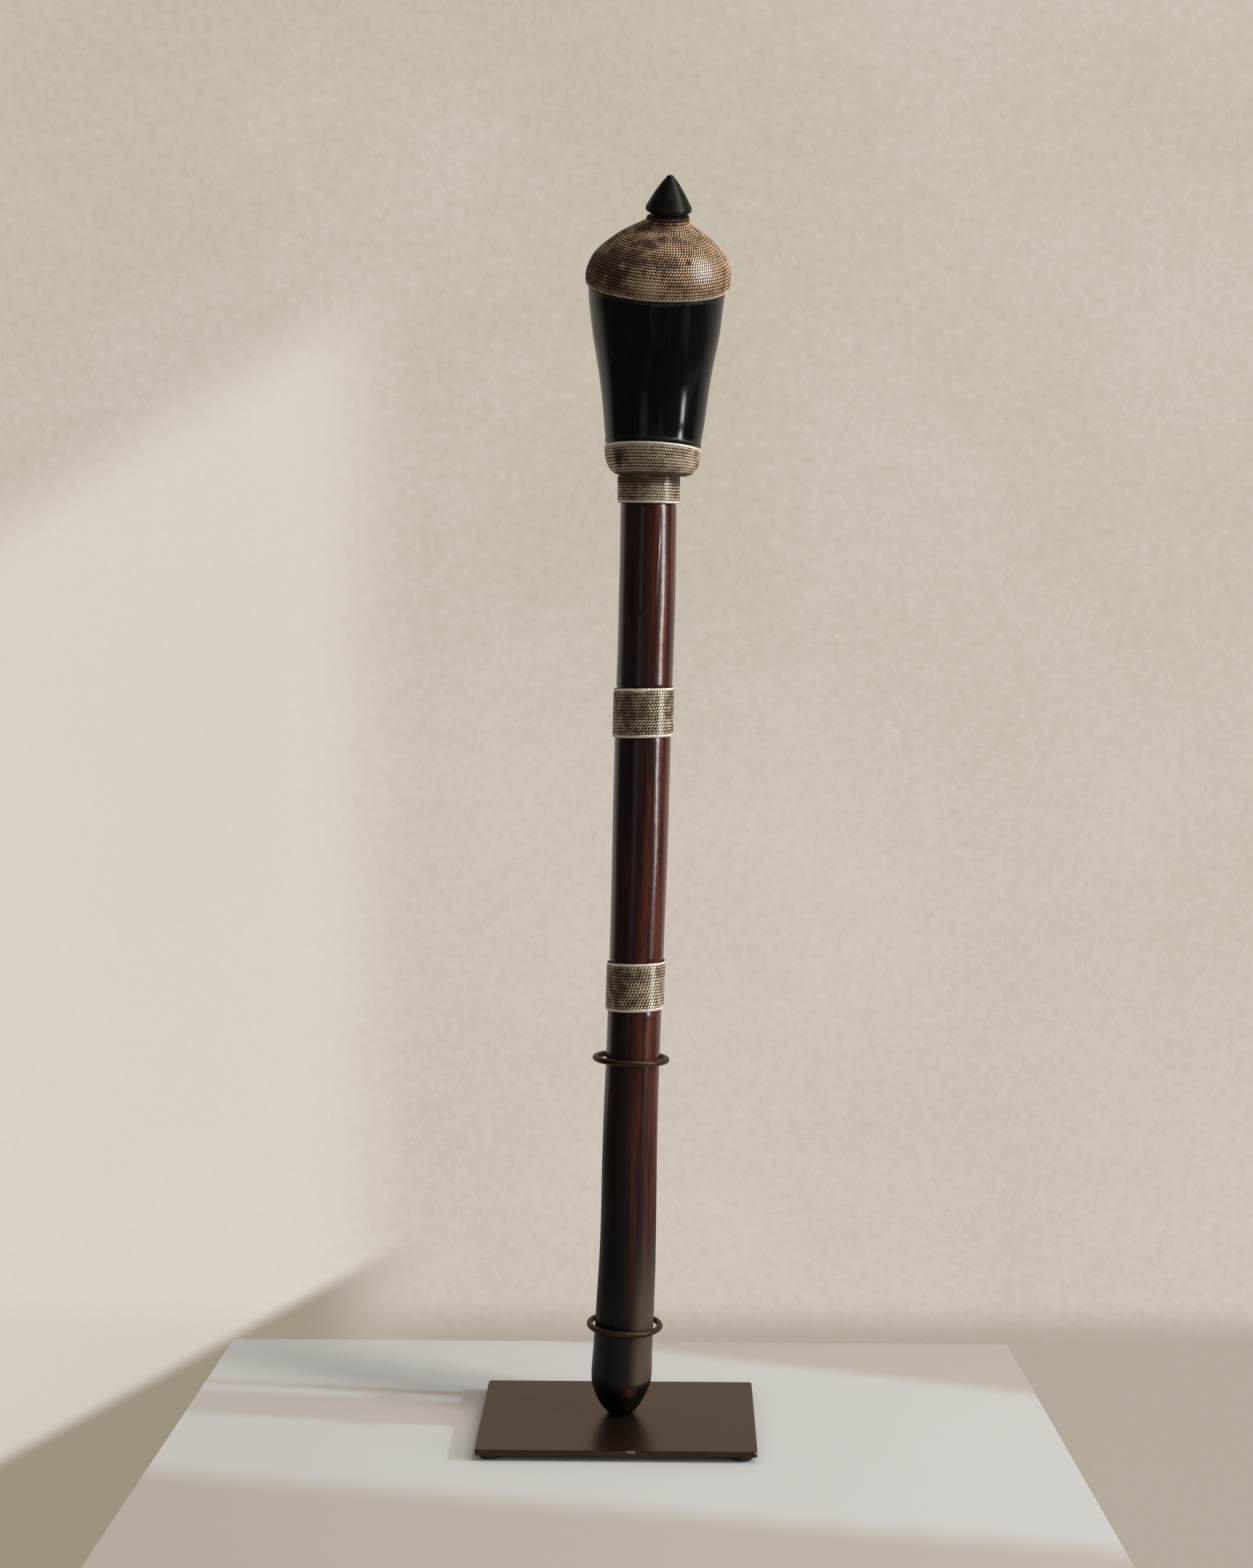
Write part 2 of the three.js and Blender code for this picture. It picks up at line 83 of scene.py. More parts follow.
# How deep the wood lies under the middle of the wire on the head, and is let in on the shaft.
COLLAR_SEAT = 0.82
CAP_SEAT = 0.87
BAND_SEAT = 0.34
# The windings on the shaft: stand_out is from its outline to the middle of the wire, and rise
# is how steeply the rows climb towards the right and the back.
NECK = {"bottom": 511.1, "top": 525.3, "stand_out": 1.0, "rise": (-0.04, 0.0)}
UPPER_BAND = {"bottom": 385.2, "top": 411.8, "stand_out": 0.55, "rise": (0.0, -0.03)}
LOWER_BAND = {"bottom": 235.2, "top": 261.8, "stand_out": 0.55, "rise": (0.0, -0.06)}
# Where the finial stands on the head's centre line.
FINIAL_FOOT = 659.8

# The stand's dimensions, in millimetres
PLATE = {"width": 152, "depth": 101, "bottom": 3.2, "top": 6.4, "corner": 1.6, "arris": 0.45}
FOOT = {"radius": 6.5, "height": 3.15, "inset": 7.9}
POST = {"radius": 3.5, "x": 5.4, "y": 34, "top": 214}
# The rings' rod: its radius, and that of the circle that its middle follows.
ROD = 1.65
ROD_LINE = 19.55
LOWER_RING = {"centre": (3.55, 5.3, 56.8), "lift": 2.5, "roll": 2}
UPPER_RING = {"centre": (7.0, 9.1, 207.2), "lift": 4.5, "roll": 2}


# Curves and surfaces

def smooth(rows):
    """A curve through a table's rows. Between two rows it is a cubic whose slope at each row
    is the mean of the slopes on both sides of it, and it is level at the table's two ends."""
    table = np.array(rows, float)
    knots, values = table[:, 0], table[:, 1:]
    sides = np.diff(values, axis=0) / np.diff(knots)[:, None]
    slopes = np.zeros_like(values)
    slopes[1:-1] = (sides[:-1] + sides[1:]) / 2

    def curve(at):
        at = np.clip(at, knots[0], knots[-1])
        high = np.clip(np.searchsorted(knots, at, side="right"), 1, len(knots) - 1)
        low = high - 1
        span = (knots[high] - knots[low])[..., None]
        share = (at - knots[low])[..., None] / span
        rest = 1 - share
        return (rest**2 * ((1 + 2 * share) * values[low] + share * span * slopes[low])
                + share**2 * ((1 + 2 * rest) * values[high] - rest * span * slopes[high]))

    return curve


def evenly(path):
    """A path of height and radius, smoothed and then shared out evenly along its length:
    curve(share) gives the heights and radii at shares of its whole length from 0 to 1."""
    rows = np.array(path, float)
    along = smooth(np.column_stack([np.arange(len(rows)), rows]))
    points = along(np.linspace(0, len(rows) - 1, 800))
    run = np.concatenate([[0], np.cumsum(np.linalg.norm(np.diff(points, axis=0), axis=1))])
    run /= run[-1]

    def curve(share):
        share = np.clip(share, 0, 1)
        return np.interp(share, run, points[:, 0]), np.interp(share, run, points[:, 1])

    return curve


shaft_line = smooth(SHAFT_LINE)
shaft_outline = smooth(SHAFT_OUTLINE)
head_line = smooth(HEAD_LINE)
head_outline = smooth(HEAD_OUTLINE)
collar_path = evenly(COLLAR_PATH)
cap_path = evenly(CAP_PATH)
# The windings themselves reach a little further: into the crease, and up the finial's stem.
collar_rows = evenly([[525.6, 17.2]] + COLLAR_PATH)
cap_rows = evenly(CAP_PATH + [[660.0, 10.3]])


def unit(vectors):
    return vectors / np.linalg.norm(vectors, axis=-1, keepdims=True)


def once_round(count):
    return np.arange(count) * FULL_TURN / count


def shaft_section(height):
    """Level sections of the shaft: centre, right and back at each height."""
    centre = np.column_stack([shaft_line(height), height])
    return centre, np.array([[1.0, 0, 0]]), np.array([[0, 1.0, 0]])


def head_section(height):
    """Leaning sections of the head: each lies square to (tan roll, -tan nod, 1)."""
    values = head_line(height)
    centre = np.column_stack([values[:, :2], height])
    nod, roll = np.tan(np.radians(values[:, 2:])).T
    along = unit(np.column_stack([roll, -nod, np.ones_like(nod)]))
    right = unit(np.array([1.0, 0, 0]) - along[:, :1] * along)
    return centre, right, np.cross(along, right)


def on_section(section, radius, angle):
    """centre + radius (cos angle right + sin angle back)."""
    centre, right, back = section
    across = (radius * np.cos(angle))[..., None]
    deep = (radius * np.sin(angle))[..., None]
    return centre + across * right + deep * back


def rings(section, radius, angle):
    """A ring of such points round each of many sections."""
    return on_section([part[:, None] for part in section], radius, angle)


def swell(angle, along, cells, seed):
    """Smooth random rises from -1 to 1: a lattice of random numbers, `cells` once round and
    one for each unit along, blended between neighbours by 3t² - 2t³ in both directions."""
    share_round, along = np.broadcast_arrays(angle / FULL_TURN, along)
    lowest = math.floor(along.min())
    rows = math.ceil(along.max()) - lowest + 2
    lattice = np.random.default_rng(seed).uniform(-1, 1, (rows, cells))
    column = (share_round % 1.0) * cells
    left = np.floor(column).astype(int)
    low = np.floor(along - lowest).astype(int)
    u, v = column - left, along - lowest - low
    u, v = u * u * (3 - 2 * u), v * v * (3 - 2 * v)
    left, right = left % cells, (left + 1) % cells
    bottom = lattice[low, left] * (1 - u) + lattice[low, right] * u
    top = lattice[low + 1, left] * (1 - u) + lattice[low + 1, right] * u
    return bottom * (1 - v) + top * v


def ease(value, low, high):
    """0 below low, 1 above high, and 3t² - 2t³ between them."""
    share = np.clip((value - low) / (high - low), 0, 1)
    return share * share * (3 - 2 * share)


def between(value, low, full, falling, high):
    """1 from full to falling, eased to 0 at low and at high."""
    return ease(value, low, full) * (1 - ease(value, falling, high))


def hump(distance, width):
    """exp(-(distance / width)²)."""
    return np.exp(-((distance / width) ** 2))


def arc_from(angle, degrees, radius):
    """Distance round the surface from an angle in degrees."""
    return (np.angle(np.exp(1j * (angle - math.radians(degrees))))) * radius


def arc_points(centre, radius, start, end, count):
    """centre + radius (cos, sin) from a start angle to an end angle, in degrees."""
    angles = np.radians(np.linspace(start, end, count))
    return [[centre[0] + radius * math.cos(a), centre[1] + radius * math.sin(a)] for a in angles]


def tube(grid, values=None, loop=False):
    """Faces over a grid of points: rings that turn anticlockwise about the way they advance.
    Each end is fanned to its middle point, or the last ring joins the first in a loop."""
    rows, around = grid.shape[:2]
    index = np.arange(rows * around).reshape(rows, around)
    if loop:
        index = np.concatenate([index, index[:1]])
    beside = np.roll(index, -1, axis=1)
    corners = [index[:-1], beside[:-1], beside[1:], index[1:]]
    faces = [np.stack(corners, axis=-1).reshape(-1, 4)]
    if not loop:
        first = np.full(around, rows * around)
        faces.append(np.stack([first, beside[0], index[0]], axis=-1))
        faces.append(np.stack([first + 1, index[-1], beside[-1]], axis=-1))

    def spread(data):
        flat = data.reshape(rows * around, -1)
        if loop:
            return flat
        ends = [data[end].reshape(around, -1).mean(axis=0) for end in (0, -1)]
        return np.concatenate([flat, ends])

    return spread(grid), faces, {key: spread(data) for key, data in (values or {}).items()}


def make_piece(name, tubes, slot, body, node_name=None):
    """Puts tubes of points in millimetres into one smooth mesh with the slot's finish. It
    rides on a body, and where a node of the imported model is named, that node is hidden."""
    points, faces, values = zip(*tubes)
    firsts = np.cumsum([0] + [len(part) for part in points])
    faces = [part + first for parts, first in zip(faces, firsts) for part in parts]
    points = np.concatenate(points) * MM
    sizes = np.concatenate([np.full(len(part), part.shape[1]) for part in faces])
    corners = np.concatenate([part.ravel() for part in faces])
    mesh = bpy.data.meshes.new(name)
    mesh.vertices.add(len(points))
    mesh.vertices.foreach_set("co", points.astype(np.float32).ravel())
    mesh.loops.add(len(corners))
    mesh.loops.foreach_set("vertex_index", corners.astype(np.int32))
    mesh.polygons.add(len(sizes))
    starts = np.concatenate([[0], np.cumsum(sizes)[:-1]])
    mesh.polygons.foreach_set("loop_start", starts.astype(np.int32))
    mesh.update(calc_edges=True)
    mesh.shade_smooth()
    for key in values[0]:
        data = np.concatenate([part[key] for part in values])
        wide = data.shape[1] == 3
        attribute = mesh.attributes.new(key, "FLOAT_VECTOR" if wide else "FLOAT", "POINT")
        attribute.data.foreach_set("vector" if wide else "value", data.astype(np.float32).ravel())
    mesh.materials.append(FINISHES[slot])
    piece = bpy.data.objects.new(name, mesh)
    bpy.context.scene.collection.objects.link(piece)
    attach(piece, body)
    if node_name:
        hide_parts(node_name)


# Finishes

FINISHES = {}


def tint(red, green, blue):
    """A colour from 0 to 255 as linear light."""
    share = np.array([red, green, blue]) / 255
    linear = np.where(share <= 0.04045, share / 12.92, ((share + 0.055) / 1.055) ** 2.4)
    return (*(float(value) for value in linear), 1.0)


def fill(sockets, values):
    """Links each value that is another node's socket, and sets the others."""
    for key, value in values.items():
        if isinstance(value, bpy.types.NodeSocket):
            value.id_data.links.new(value, sockets[key])
        else:
            sockets[key].default_value = value


def node(kind, inputs, tree=None, **settings):
    """The outputs of a node, made in a tree or in the one that its linked inputs come from."""
    linked = [value for value in inputs.values() if isinstance(value, bpy.types.NodeSocket)]
    made = (tree or linked[0].id_data).nodes.new(kind)
    for key, value in settings.items():
        setattr(made, key, value)
    fill(made.inputs, inputs)
    return made.outputs


def source(tree, kind, output, **settings):
    """What a node without inputs puts out."""
    return node(kind, {}, tree, **settings)[output]


def maths(operation, *values):
    return node("ShaderNodeMath", dict(enumerate(values)), operation=operation)[0]


def plus(first, second):
    return maths("ADD", first, second)


def minus(first, second):
    return maths("SUBTRACT", first, second)


def times(first, second):
    return maths("MULTIPLY", first, second)


def scaled(value, by, base):
    """base + value times by."""
    return maths("MULTIPLY_ADD", value, by, base)


def fade(value, low, high, start=0.0, end=1.0):
    """From start at low to end at high, eased at both."""
    inputs = {"Value": value, "From Min": low, "From Max": high, "To Min": start, "To Max": end}
    return node("ShaderNodeMapRange", inputs, interpolation_type="SMOOTHSTEP")[0]


def mixed(factor, first, second):
    return node("ShaderNodeMix", {0: factor, 6: first, 7: second}, data_type="RGBA")[2]


def noise(place, scale, detail=3.0, roughness=0.55):
    inputs = {"Vector": place, "Scale": scale, "Detail": detail, "Roughness": roughness}
    return node("ShaderNodeTexNoise", inputs)[0]


def stretched(place, scales):
    return node("ShaderNodeVectorMath", {0: place, 1: scales}, operation="MULTIPLY")[0]


def split_place(place):
    return node("ShaderNodeSeparateXYZ", {0: place})


def raised(height, depth):
    """A normal for small relief of the given depth in metres."""
    return node("ShaderNodeBump", {"Height": height, "Distance": depth, "Strength": 1.0})[0]


def object_place(tree):
    return source(tree, "ShaderNodeTexCoord", "Object")


def surface_value(tree, name, output="Fac"):
    return source(tree, "ShaderNodeAttribute", output, attribute_name=name)


def grain_place(tree):
    """The place in millimetres that the wood's grain or the wire's tarnish follows."""
    return surface_value(tree, "grain", "Vector")


def shared_effect(name, inputs, outputs):
    """An empty node group with named sockets, each given as its kind."""
    tree = bpy.data.node_groups.new(name, "ShaderNodeTree")
    for way, sockets in (("INPUT", inputs), ("OUTPUT", outputs)):
        for key, kind in sockets.items():
            tree.interface.new_socket(name=key, in_out=way, socket_type="NodeSocket" + kind)
    return tree, tree.nodes.new("NodeGroupInput").outputs, tree.nodes.new("NodeGroupOutput").inputs


def use_effect(effect, inputs):
    return node("ShaderNodeGroup", inputs, node_tree=effect)


def wood_figure_effect():
    """Streaks, fibres and pores that run along the wood, from a place in millimetres."""
    tree, given, result = shared_effect(
        "wood_figure",
        {"Place": "Vector", "Across": "Float", "Along": "Float"},
        {"Streaks": "Float", "Fibres": "Float", "Pores": "Float"},
    )
    scales = node("ShaderNodeCombineXYZ",
                  {0: given["Across"], 1: given["Across"], 2: given["Along"]})[0]
    place = stretched(given["Place"], scales)
    fill(result, {
        "Streaks": noise(place, 1.0, 4.0),
        "Fibres": noise(place, 6.0, 4.0, 0.65),
        "Pores": fade(noise(place, 14.0, 1.0), 0.62, 0.72),
    })
    return tree


def wire_tarnish_and_painted_light_effect():
    """Metal that is bright where it stands out, dull where it is tarnished and where shade is
    painted on, pale where rubbing has worn it bare and where a sheen is painted on, and dark
    with grime between its strands and where the tarnished and painted-shade value passes 1.
    Crest is 1 on the outside of the wire and -1 against the wood."""
    tree, given, result = shared_effect(
        "tarnished_wire",
        {"Place": "Vector", "Crest": "Float", "Tarnish": "Float", "Rub": "Float",
         "Bright": "Color", "Dull": "Color", "Bare_and_sheen": "Color", "Grime": "Color"},
        {"Color": "Color", "Metal": "Float", "Roughness": "Float"},
    )
    place, tarnish, rub = given["Place"], given["Tarnish"], given["Rub"]
    cloud = fade(noise(place, 0.22, 4.0, 0.6), 0.36, 0.66)
    speck = noise(place, 2.6, 3.0, 0.6)
    # The dulling holds the tarnished places and the painted shade that the look functions add.
    dulled = scaled(speck, 0.5, minus(scaled(cloud, 0.55, tarnish), 0.3))
    dulled = fade(minus(dulled, rub), 0.0, 1.0)
    # One mask and tint serve bare metal and the pale sheen painted where the light's reflection falls.
    bare = times(fade(rub, 0.15, 1.0, 0.0, 0.85), fade(dulled, 0.1, 0.6, 1.0, 0.2))
    metal = mixed(bare, mixed(dulled, given["Bright"], given["Dull"]), given["Bare_and_sheen"])
    reach = scaled(dulled, 0.2, scaled(rub, -0.2, 0.78))
    crest = times(fade(given["Crest"], minus(reach, 0.4), reach),
                  fade(tarnish, 0.9, 2.0, 1.0, 0.0))
    rough = scaled(rub, -0.14, scaled(dulled, 0.14, 0.36))
    fill(result, {
        "Color": mixed(crest, given["Grime"], metal),
        "Metal": times(crest, scaled(dulled, -0.3, 0.45)),
        "Roughness": scaled(minus(1.0, crest), 0.35, rough),
    })
    return tree


wood_figure = wood_figure_effect()
tarnished_wire = wire_tarnish_and_painted_light_effect()


def new_finish(name):
    """The node tree and the shader of a new material, which FINISHES keeps under its name."""
    made = bpy.data.materials.new(name)
    made.use_nodes = True
    FINISHES[name] = made
    return made.node_tree, made.node_tree.nodes["Principled BSDF"]


def red_wood_finish():
    """Dark red hardwood under lacquer, duller below the upper ring, its red streaks painted
    brighter on the right as painted light, and painted black at the foot as a painted
    reflection of the dark plate there. A painted grey sheen lies low on the right, and a spot
    at the foot shows red through the black."""
    tree, shader = new_finish("red_wood")
    place = grain_place(tree)
    right, _, height = split_place(place)
    figure = use_effect(wood_figure, {"Place": place, "Across": 0.22, "Along": 0.011})
    fibres = figure["Fibres"]
    streak = fade(figure["Streaks"], 0.36, 0.64)
    # The red streaks are painted brighter towards the right: painted light from the side the lamps
    # light.
    reds_with_painted_light = times(scaled(streak, 0.75, 0.15), fade(right, -3.0, 9.0, 0.2, 1.0))
    colour = mixed(reds_with_painted_light, tint(17, 11, 9), tint(84, 38, 26))
    colour = mixed(fade(fibres, 0.42, 0.75, 0.0, 0.6), colour, tint(22, 11, 9))
    colour = mixed(times(figure["Pores"], 0.7), colour, tint(10, 6, 5))
    worn = fade(scaled(streak, 25.0, height), 40.0, 210.0)
    colour = mixed(worn, tint(12, 9, 7), colour)
    # A painted grey sheen low on the right side of the lower shaft, standing for the broad reflection
    # of the light there.
    painted_sheen = times(fade(height, 55.0, 125.0, 0.85, 0.0),
                fade(scaled(fibres, 3.0, right), 4.0, 11.5))
    colour = mixed(painted_sheen, colour, tint(69, 56, 45))
    from_glint = node("ShaderNodeVectorMath", {0: place, 1: (4.0, -13.5, 24.0)},
                      operation="DISTANCE")["Value"]
    chips = fade(noise(place, 1.1, 4.0, 0.7), 0.45, 0.65)
    glint = times(fade(from_glint, 1.0, 6.0, 1.0, 0.0), chips)
    # The foot below its shoulder is painted black, a painted reflection of the dark plate that its
    # downturned surface faces; the chipped spot keeps a red colour.
    above_foot = fade(height, 25.5, 28.5)
    colour = mixed(above_foot, mixed(glint, tint(6, 4, 3), tint(104, 50, 30)), colour)
    lacquer = fade(height, 150.0, 225.0)
    satin = times(fade(height, 45.0, 80.0, 0.08, 0.0), above_foot)
    rough = scaled(noise(place, 0.16, 3.0), 0.1, scaled(lacquer, -0.2, 0.42))
    ripple = noise(stretched(place, (1.0, 1.0, 0.7)), 0.9, 3.0, 0.6)
    fill(shader.inputs, {
        "Base Color": mixed(surface_value(tree, "scar"), colour, tint(9, 6, 5)),
        "Roughness": rough,
        "Normal": raised(scaled(fibres, 0.4, ripple), 0.00006),
        "Coat Weight": scaled(lacquer, 0.95, plus(satin, 0.05)),
        "Coat Roughness": 0.19,
        "Specular IOR Level": 0.15,
    })


def black_wood_finish():
    """Black hardwood polished under lacquer, with faint cool streaks along the grain and pale
    dust caught in the hardened resin next to the windings, partly painted glints of light caught
    on that resin."""
    tree, shader = new_finish("black_wood")
    place, bead = grain_place(tree), surface_value(tree, "bead")
    figure = use_effect(wood_figure, {"Place": place, "Across": 0.16, "Along": 0.012})
    streak = fade(figure["Streaks"], 0.5, 0.72)
    colour = mixed(streak, tint(8, 7, 7), tint(22, 22, 27))
    # Pale specks on the resin bead: partly dust, partly painted glints of light, strongest where the
    # bead is fullest, at the right front.
    dust = times(fade(noise(place, 2.4, 3.0, 0.7), 0.5, 0.66), bead)
    rough = scaled(bead, 0.25, scaled(figure["Fibres"], 0.06, 0.1))
    fill(shader.inputs, {
        "Base Color": mixed(dust, colour, tint(82, 74, 66)),
        "Roughness": rough,
        "Normal": raised(scaled(dust, 3.0, figure["Fibres"]), 0.000012),
    })


def finial_wood_finish():
    """Dark charcoal hardwood with a satin polish."""
    tree, shader = new_finish("finial_wood")
    figure = use_effect(wood_figure,
                        {"Place": grain_place(tree), "Across": 0.5, "Along": 0.04})
    streak = fade(figure["Streaks"], 0.4, 0.7)
    fill(shader.inputs, {
        "Base Color": mixed(streak, tint(16, 13, 10), tint(27, 23, 18)),
        "Roughness": scaled(figure["Fibres"], 0.1, 0.32),
        "Specular IOR Level": 0.13,
        "Normal": raised(figure["Fibres"], 0.00003),
    })


def wire_finish(name, bright, dull, bare, grime):
    """Twisted wire in one metal, from the tints of its four states."""
    tree, shader = new_finish(name)
    look = use_effect(tarnished_wire, {
        "Place": grain_place(tree),
        "Crest": surface_value(tree, "crest"),
        "Tarnish": surface_value(tree, "tarnish"),
        "Rub": surface_value(tree, "rub"),
        "Bright": tint(*bright),
        "Dull": tint(*dull),
        "Bare_and_sheen": tint(*bare),
        "Grime": tint(*grime),
    })
    fill(shader.inputs, {
        "Base Color": look["Color"],
        "Metallic": look["Metal"],
        "Roughness": look["Roughness"],
        "Coat Weight": times(look["Metal"], 2.0),
        "Coat Roughness": 0.38,
    })


def black_steel_finish():
    """Steel under satin black paint with faint clouds and specks of dust, worn to bare metal
    in spots along the edges. The plate's top is wiped cleaner and has a warm shine."""
    tree, shader = new_finish("black_steel")
    place, top = object_place(tree), surface_value(tree, "top")
    cloud = noise(place, 60.0, 4.0, 0.6)
    fine = noise(place, 2600.0, 2.0, 0.5)
    chips = noise(place, 420.0, 4.0, 0.7)
    wear = scaled(surface_value(tree, "edge"), 0.12, surface_value(tree, "wear"))
    bare = fade(plus(chips, wear), 0.88, 0.94)
    dusty = fade(scaled(fine, 0.3, cloud), 0.45, 0.95, 0.0, 0.3)
    dusty = times(fade(top, 0.0, 1.0, 1.0, 0.2), dusty)
    paint = mixed(dusty, tint(19, 14, 10), tint(52, 41, 30))
    rough = scaled(top, -0.1, scaled(cloud, 0.16, 0.3))
    fill(shader.inputs, {
        "Base Color": mixed(bare, paint, tint(150, 143, 134)),
        "Metallic": bare,
        "Roughness": scaled(fine, 0.06, rough),
        "Normal": raised(scaled(bare, -0.6, fine), 0.000015),
        "Coat Weight": times(top, 0.5),
        "Coat Roughness": 0.3,
        "Coat Tint": tint(255, 210, 165),
        "Specular Tint": tint(255, 208, 166),
    })


def rubber_finish():
    """Black rubber with a fine moulded grain and a little dust."""
    tree, shader = new_finish("foot_rubber")
    place = object_place(tree)
    dust = fade(noise(place, 240.0, 4.0, 0.6), 0.5, 0.75)
    fill(shader.inputs, {
        "Base Color": mixed(dust, tint(20, 20, 20), tint(44, 42, 40)),
        "Roughness": scaled(dust, 0.15, 0.62),
        "Normal": raised(noise(place, 1800.0, 2.0), 0.00004),
    })


def screw_finish():
    """Zinc-grey steel with turned rings and dulled patches."""
    tree, shader = new_finish("screw_steel")
    place = object_place(tree)
    patch = noise(place, 700.0, 3.0)
    turned_marks = noise(stretched(place, (60.0, 60.0, 9000.0)), 1.0, 1.0)
    fill(shader.inputs, {
        "Base Color": mixed(patch, tint(96, 97, 100), tint(150, 150, 150)),
        "Metallic": 1.0,
        "Roughness": scaled(patch, 0.2, 0.25),
        "Normal": raised(turned_marks, 0.00001),
    })


# The staff's wood

def grain_of(grid, section):
    """Place across the wood from its own centre line, and height, so that the grain follows
    the wood."""
    return grid - section[0][:, None] * np.array([1.0, 1.0, 0.0])


def carved_shaft():
    """Rings on the shaft's centre line, closer together in front than behind. The radius is
    the outline, let in under each winding, with broad swells, knife ridges and small tool
    marks, and near the top a healed knot with a split above it and scratches below."""
    heights = np.unique(np.concatenate([
        np.linspace(SHAFT_OUTLINE[0][0], SHAFT_TOP, 530),
        np.arange(438.0, 487.0, 1.1),
        np.arange(7.0, 28.0, 0.7),
    ]))[:, None]
    turn = once_round(156)
    angle = math.radians(-92) + turn - 0.42 * np.sin(turn)
    base = shaft_outline(heights[:, 0])
    radius = base + 0 * angle
    for band in (LOWER_BAND, UPPER_BAND, NECK):
        right, back = band["rise"]
        low, high = band["bottom"], band["top"]
        level = heights - base * (right * np.cos(angle) + back * np.sin(angle))
        radius = radius - BAND_SEAT * between(level, low - 1.3, low - 0.5, high + 0.5, high + 1.3)
    marks = (
        0.13 * swell(angle, heights / 58, 7, 11)
        + 0.06 * swell(angle, heights / 23, 17, 12)
        + 0.014 * swell(angle, heights / 2.9, 46, 13)
        + 0.009 * swell(angle, heights / 1.7, 84, 14)
    )
    # Each knife ridge: its angle, its lower and upper end, and how far it stands out.
    for degrees, low, high, rise in (
        (-69, 452, 504, 0.13), (-76, 415, 470, 0.08), (-118, 290, 380, 0.09),
        (-64, 120, 232, 0.10), (-40, 290, 372, 0.09), (-150, 60, 200, 0.10),
        (150, 300, 500, 0.10), (60, 80, 330, 0.12),
    ):
        arc = arc_from(angle + 0.05 * np.sin(heights / 17), degrees, base)
        marks = marks + rise * hump(arc, 0.55) * between(heights, low, low + 14, high - 14, high)
    away = np.hypot(arc_from(angle, -95.3, base), 0.8 * (heights - 452.7))
    marks = marks - 0.20 * hump(away, 1.0) + 0.13 * hump(away - 2.0, 0.6)
    split = arc_from(angle, -94.6, base) - 0.3 * np.sin(heights * 0.35)
    split_reach = between(heights, 457, 463, 478, 486)
    marks = marks - 0.24 * hump(split, 0.3) * split_reach
    marks = marks + 0.10 * hump(split - 1.0, 0.5) * split_reach
    scratch = arc_from(angle, -99, base) - 0.12 * (heights - 441)
    marks = marks - 0.08 * hump(scratch, 0.3) * between(heights, 438, 442, 447, 451)
    radius = radius + marks * ease(heights, 7, 20)
    scar = 0.8 * hump(split, 0.26) * split_reach + 0.5 * hump(away, 0.8)
    section = shaft_section(heights[:, 0])
    grid = rings(section, radius, angle)
    values = {"grain": grain_of(grid, section), "scar": scar}
    make_piece("carved_shaft", [tube(grid, values)], "red_wood", "staff", "shaft")


def under(path, depth, count):
    """Points of height and radius that lie a depth under a wound path, square to it."""
    height, radius = path(np.linspace(0, 1, count))
    way = unit(np.stack([np.gradient(height), np.gradient(radius)], axis=-1))
    return np.column_stack([height + depth * way[:, 1], radius - depth * way[:, 0]])


def black_head():
    """Leaning rings on the head's centre line. The radius follows the two wound paths from
    underneath and the bare outline between them, with broad swells, a bead of hardened resin
    along each winding's edge and a nick in the upper one."""
    collar = under(collar_path, COLLAR_SEAT, 16)
    cap = under(cap_path, CAP_SEAT, 44)
    bare = np.linspace(542.2, 624.6, 104)
    profile = np.concatenate([
        [[525.9, 14.5]],
        collar[collar[:, 0] > 526.2],
        np.column_stack([bare, head_outline(bare)]),
        cap[cap[:, 0] > 625.0],
    ])
    heights, base = profile[:, :1], profile[:, 1:]
    angle = once_round(176)
    radius = base + between(heights, 541.8, 546, 622, 625) * (
        0.16 * swell(angle, heights / 34, 6, 21)
        + 0.05 * swell(angle, heights / 12, 15, 22)
    )
    lumps = 0.75 + 0.45 * swell(angle, heights / 1.2, 90, 23)
    low_bead = hump(heights - 542.7, 0.8) * lumps
    # The bead is fuller towards the right front, where the light falls, so its pale specks, partly
    # painted glints, show most there.
    low_bead = low_bead * (0.35 + 0.65 * hump(arc_from(angle, -45, base), 18.0))
    high_bead = hump(heights - 623.9, 0.7) * lumps
    nick = np.hypot(arc_from(angle, -160, base), heights - 623.6)
    radius = radius + 0.5 * low_bead + 0.35 * high_bead - 0.25 * hump(nick, 0.9)
    section = head_section(heights[:, 0])
    grid = rings(section, radius, angle)
    values = {"grain": grain_of(grid, section), "bead": np.clip(low_bead + high_bead, 0, 1)}
    make_piece("black_head", [tube(grid, values)], "black_wood", "staff", "head")


